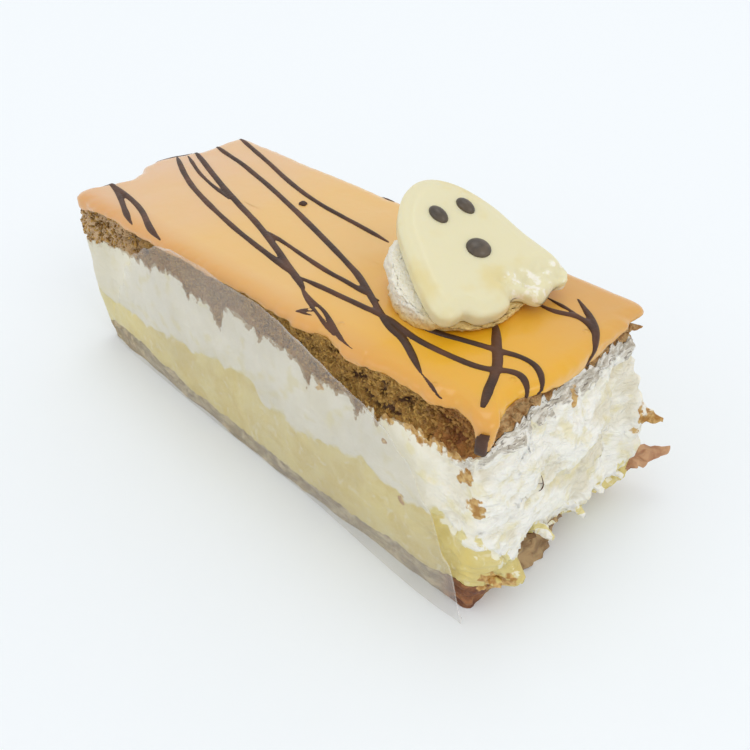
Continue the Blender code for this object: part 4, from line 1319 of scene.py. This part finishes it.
def custard_material():
    """Pastry cream: set egg custard, pale yellow, moist and a little lumpy."""
    material, tree, shader, place = start_material(
        "pastry_cream_custard", 0.40, Subsurface_Weight=0.20, Subsurface_Scale=0.0012,
        Subsurface_Radius=(1.0, 0.8, 0.35))
    colour = painted(
        tree, "E8D78A",
        (noise_share(tree, place, 5 * MM, 0.38, 0.66), "DEC870"),
        (attribute_share(tree, "torn", 0.2, 0.9, most=0.5), "CDBD80"),
        (noise_share(tree, place, 2.4 * MM, 0.55, 0.72, 4.0, 0.6, most=0.5), "F0E9C8"),
        (filling_border(tree, place, "high", -1.0), "F0EAD0"),
        (by_far_corner(tree, place, -44 * MM, -54 * MM, 0.7), "CFC8A0"))
    lumps = noise_share(tree, place, 1.6 * MM, 0.3, 0.7)
    finish_surface(tree, shader, with_amber(tree, place, colour), lumps, 0.15 * MM, 0.5)
    return material


def ghost_material():
    """Ivory moulding chocolate: smooth and fatty, so it is glossy and glows softly."""
    material, tree, shader, place = start_material(
        "ivory_chocolate", 0.36, Subsurface_Weight=0.30, Subsurface_Scale=0.0015,
        Subsurface_Radius=(1.0, 0.85, 0.5), Coat_Weight=0.12, Coat_Roughness=0.2)
    blush = noise_share(tree, place, 9 * MM, 0.52, 0.72)
    creamy = add_node(tree, "ShaderNodeMath", {
        0: attribute_share(tree, "broken", 0.5, 0.95),
        1: noise_share(tree, place, 1.6 * MM, 0.50, 0.64, 4.0)}, operation="MULTIPLY")
    colour = painted(tree, "E4DDB6", (blush, "E2D49C"), (creamy.outputs["Value"], "F3EFE0"))
    finish_surface(tree, shader, colour, noise_share(tree, place, 4 * MM, 0.3, 0.7), 0.08 * MM, 0.4)
    return material


def drop_material():
    """The face's chocolate drops: dark, set with a soft sheen."""
    material, tree, shader, place = start_material(
        "dark_chocolate_drops", 0.36, Coat_Weight=0.25, Coat_Roughness=0.3)
    colour = painted(tree, "40362A", (noise_share(tree, place, 2 * MM, 0.35, 0.7), "5C4E3C"))
    finish_surface(tree, shader, colour)
    return material


def crumb_material():
    """Loose leaf crumbs of the pastry, toasted light and dark."""
    material, tree, shader, place = start_material("pastry_crumbs", 0.7)
    colour = painted(
        tree, "74521A",
        (noise_share(tree, place, 1.1 * MM, 0.36, 0.64), "BE9446"),
        # Redder and darker towards the near corner: painted shade of the hollow there
        (place_share(tree, place, "X", 40 * MM, 48 * MM, most=0.45), "8A5428"))
    finish_surface(tree, shader, colour)
    return material


def film_material():
    """Clear cake film: a faint grey haze over what lies behind it, with a painted highlight along its cut
    edge.
    """
    material, tree, shader, place = start_material("clear_cake_film", 0.22)
    rim = add_node(tree, "ShaderNodeAttribute", attribute_name="rim").outputs["Fac"]
    haze = noise_share(tree, place, 18 * MM, 0.3, 0.7, least=0.12, most=0.18)
    glint = noise_share(tree, place, 14 * MM, 0.40, 0.62, most=0.22)
    clear = place_share(tree, place, "X", -54 * MM, -34 * MM, least=0.3)
    cut = add_node(tree, "ShaderNodeMath", {0: rim, 1: glint}, operation="MULTIPLY")
    whole = add_node(tree, "ShaderNodeMath", {0: haze, 1: cut.outputs["Value"]}, operation="ADD")
    alpha = add_node(tree, "ShaderNodeMath", {0: whole.outputs["Value"], 1: clear}, operation="MULTIPLY")
    tree.links.new(alpha.outputs["Value"], shader.inputs["Alpha"])
    finish_surface(tree, shader, painted(tree, "CFCDC8", (rim, "FAF8F2")))
    return material


# The four layers' pieces: node, level of the lower line, relief, rows of the wall, slot and material
LAYERS = {
    "base_crust": ("base_pastry", 0, base_relief, 20, "base_crust", base_material),
    "custard_filling": ("custard", 1, cream_relief, 34, "custard", custard_material),
    "cream_filling": ("cream", 2, cream_relief, 56, "whipped_cream", cream_material),
    "upper_pastry": ("top_pastry", 3, pastry_relief, 34, "puff_pastry", pastry_material),
}


def dress(item, material, nodes):
    """Give a finished piece its material, its body and the nodes it stands for."""
    item.data.materials.clear()
    item.data.materials.append(material)
    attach(item, "root")
    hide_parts(*nodes)


def make_stage():
    """A plain pale floor, three soft lights and the camera."""
    bpy.ops.mesh.primitive_plane_add(size=4.0, location=(0, 0, 0))
    floor = bpy.context.object
    floor.name = "floor"
    material = bpy.data.materials.new("pale_floor")
    material.use_nodes = True
    shader = material.node_tree.nodes["Principled BSDF"]
    shader.inputs["Base Color"].default_value = srgb("F4F9FC")
    shader.inputs["Roughness"].default_value = 0.9
    shader.inputs["Specular IOR Level"].default_value = 0.1
    floor.data.materials.append(material)
    world = bpy.data.worlds.new("pale_studio")
    world.use_nodes = True
    world.node_tree.nodes["Background"].inputs["Color"].default_value = srgb("FCFCFD")
    world.node_tree.nodes["Background"].inputs["Strength"].default_value = 0.90
    bpy.context.scene.world = world
    for index, (place, width, power) in enumerate(LIGHTS):
        light = bpy.data.lights.new(f"soft_light_{index}", "AREA")
        light.size = width
        light.energy = power
        lamp = add_object(light.name, light)
        lamp.location = place
        lamp.rotation_euler = (-Vector(place)).to_track_quat("-Z", "Y").to_euler()
    camera = bpy.data.cameras.new("photo_camera")
    camera.sensor_width = SENSOR_MM
    camera.lens = FOCAL_PIXELS / IMAGE_PIXELS * SENSOR_MM
    camera.clip_start = 0.01
    eye = add_object("photo_camera", camera)
    eye.location = CAMERA_PLACE
    look = Vector((
        -math.sin(CAMERA_AZIMUTH) * math.cos(CAMERA_ELEVATION),
        math.cos(CAMERA_AZIMUTH) * math.cos(CAMERA_ELEVATION),
        -math.sin(CAMERA_ELEVATION)))
    eye.rotation_euler = look.to_track_quat("-Z", "Y").to_euler()
    bpy.context.scene.camera = eye
    bpy.context.scene.view_settings.view_transform = "Standard"


def build():
    make_stage()
    columns = perimeter(*COLUMN_STEPS)
    fine_columns = perimeter(*FINE_COLUMN_STEPS)
    layers = {}
    for name, layer_facts in LAYERS.items():
        layers[name] = make_filled_layer(name, fine_columns if name == "upper_pastry" else columns)
        dress(layers[name], layer_facts[-1](), [layer_facts[0]])
    crumbs = crumb_material()
    dress(make_crumbs(layers["upper_pastry"], crumbs), crumbs, ["top_pastry"])
    cream = surface_tree(layers["cream_filling"])
    chocolate = chocolate_material()
    sliver = make_strands("dark_sliver", SLIVER, cream, chocolate, SLIVER_VOXEL, SLIVER_PART)
    dress(sliver, chocolate, ["cream"])
    icing = make_icing(columns)
    dress(icing, icing_material(), ["icing"])
    dress(make_drizzle(surface_tree(icing), chocolate), chocolate, ["icing"])
    ghost = make_ghost()
    dress(ghost, ghost_material(), ["ghost"])
    dress(make_face(ghost), drop_material(), ["ghost"])
    dress(make_dollop(), dollop_material(), ["cream_dollop"])
    dress(make_film(), film_material(), ["film"])


build()
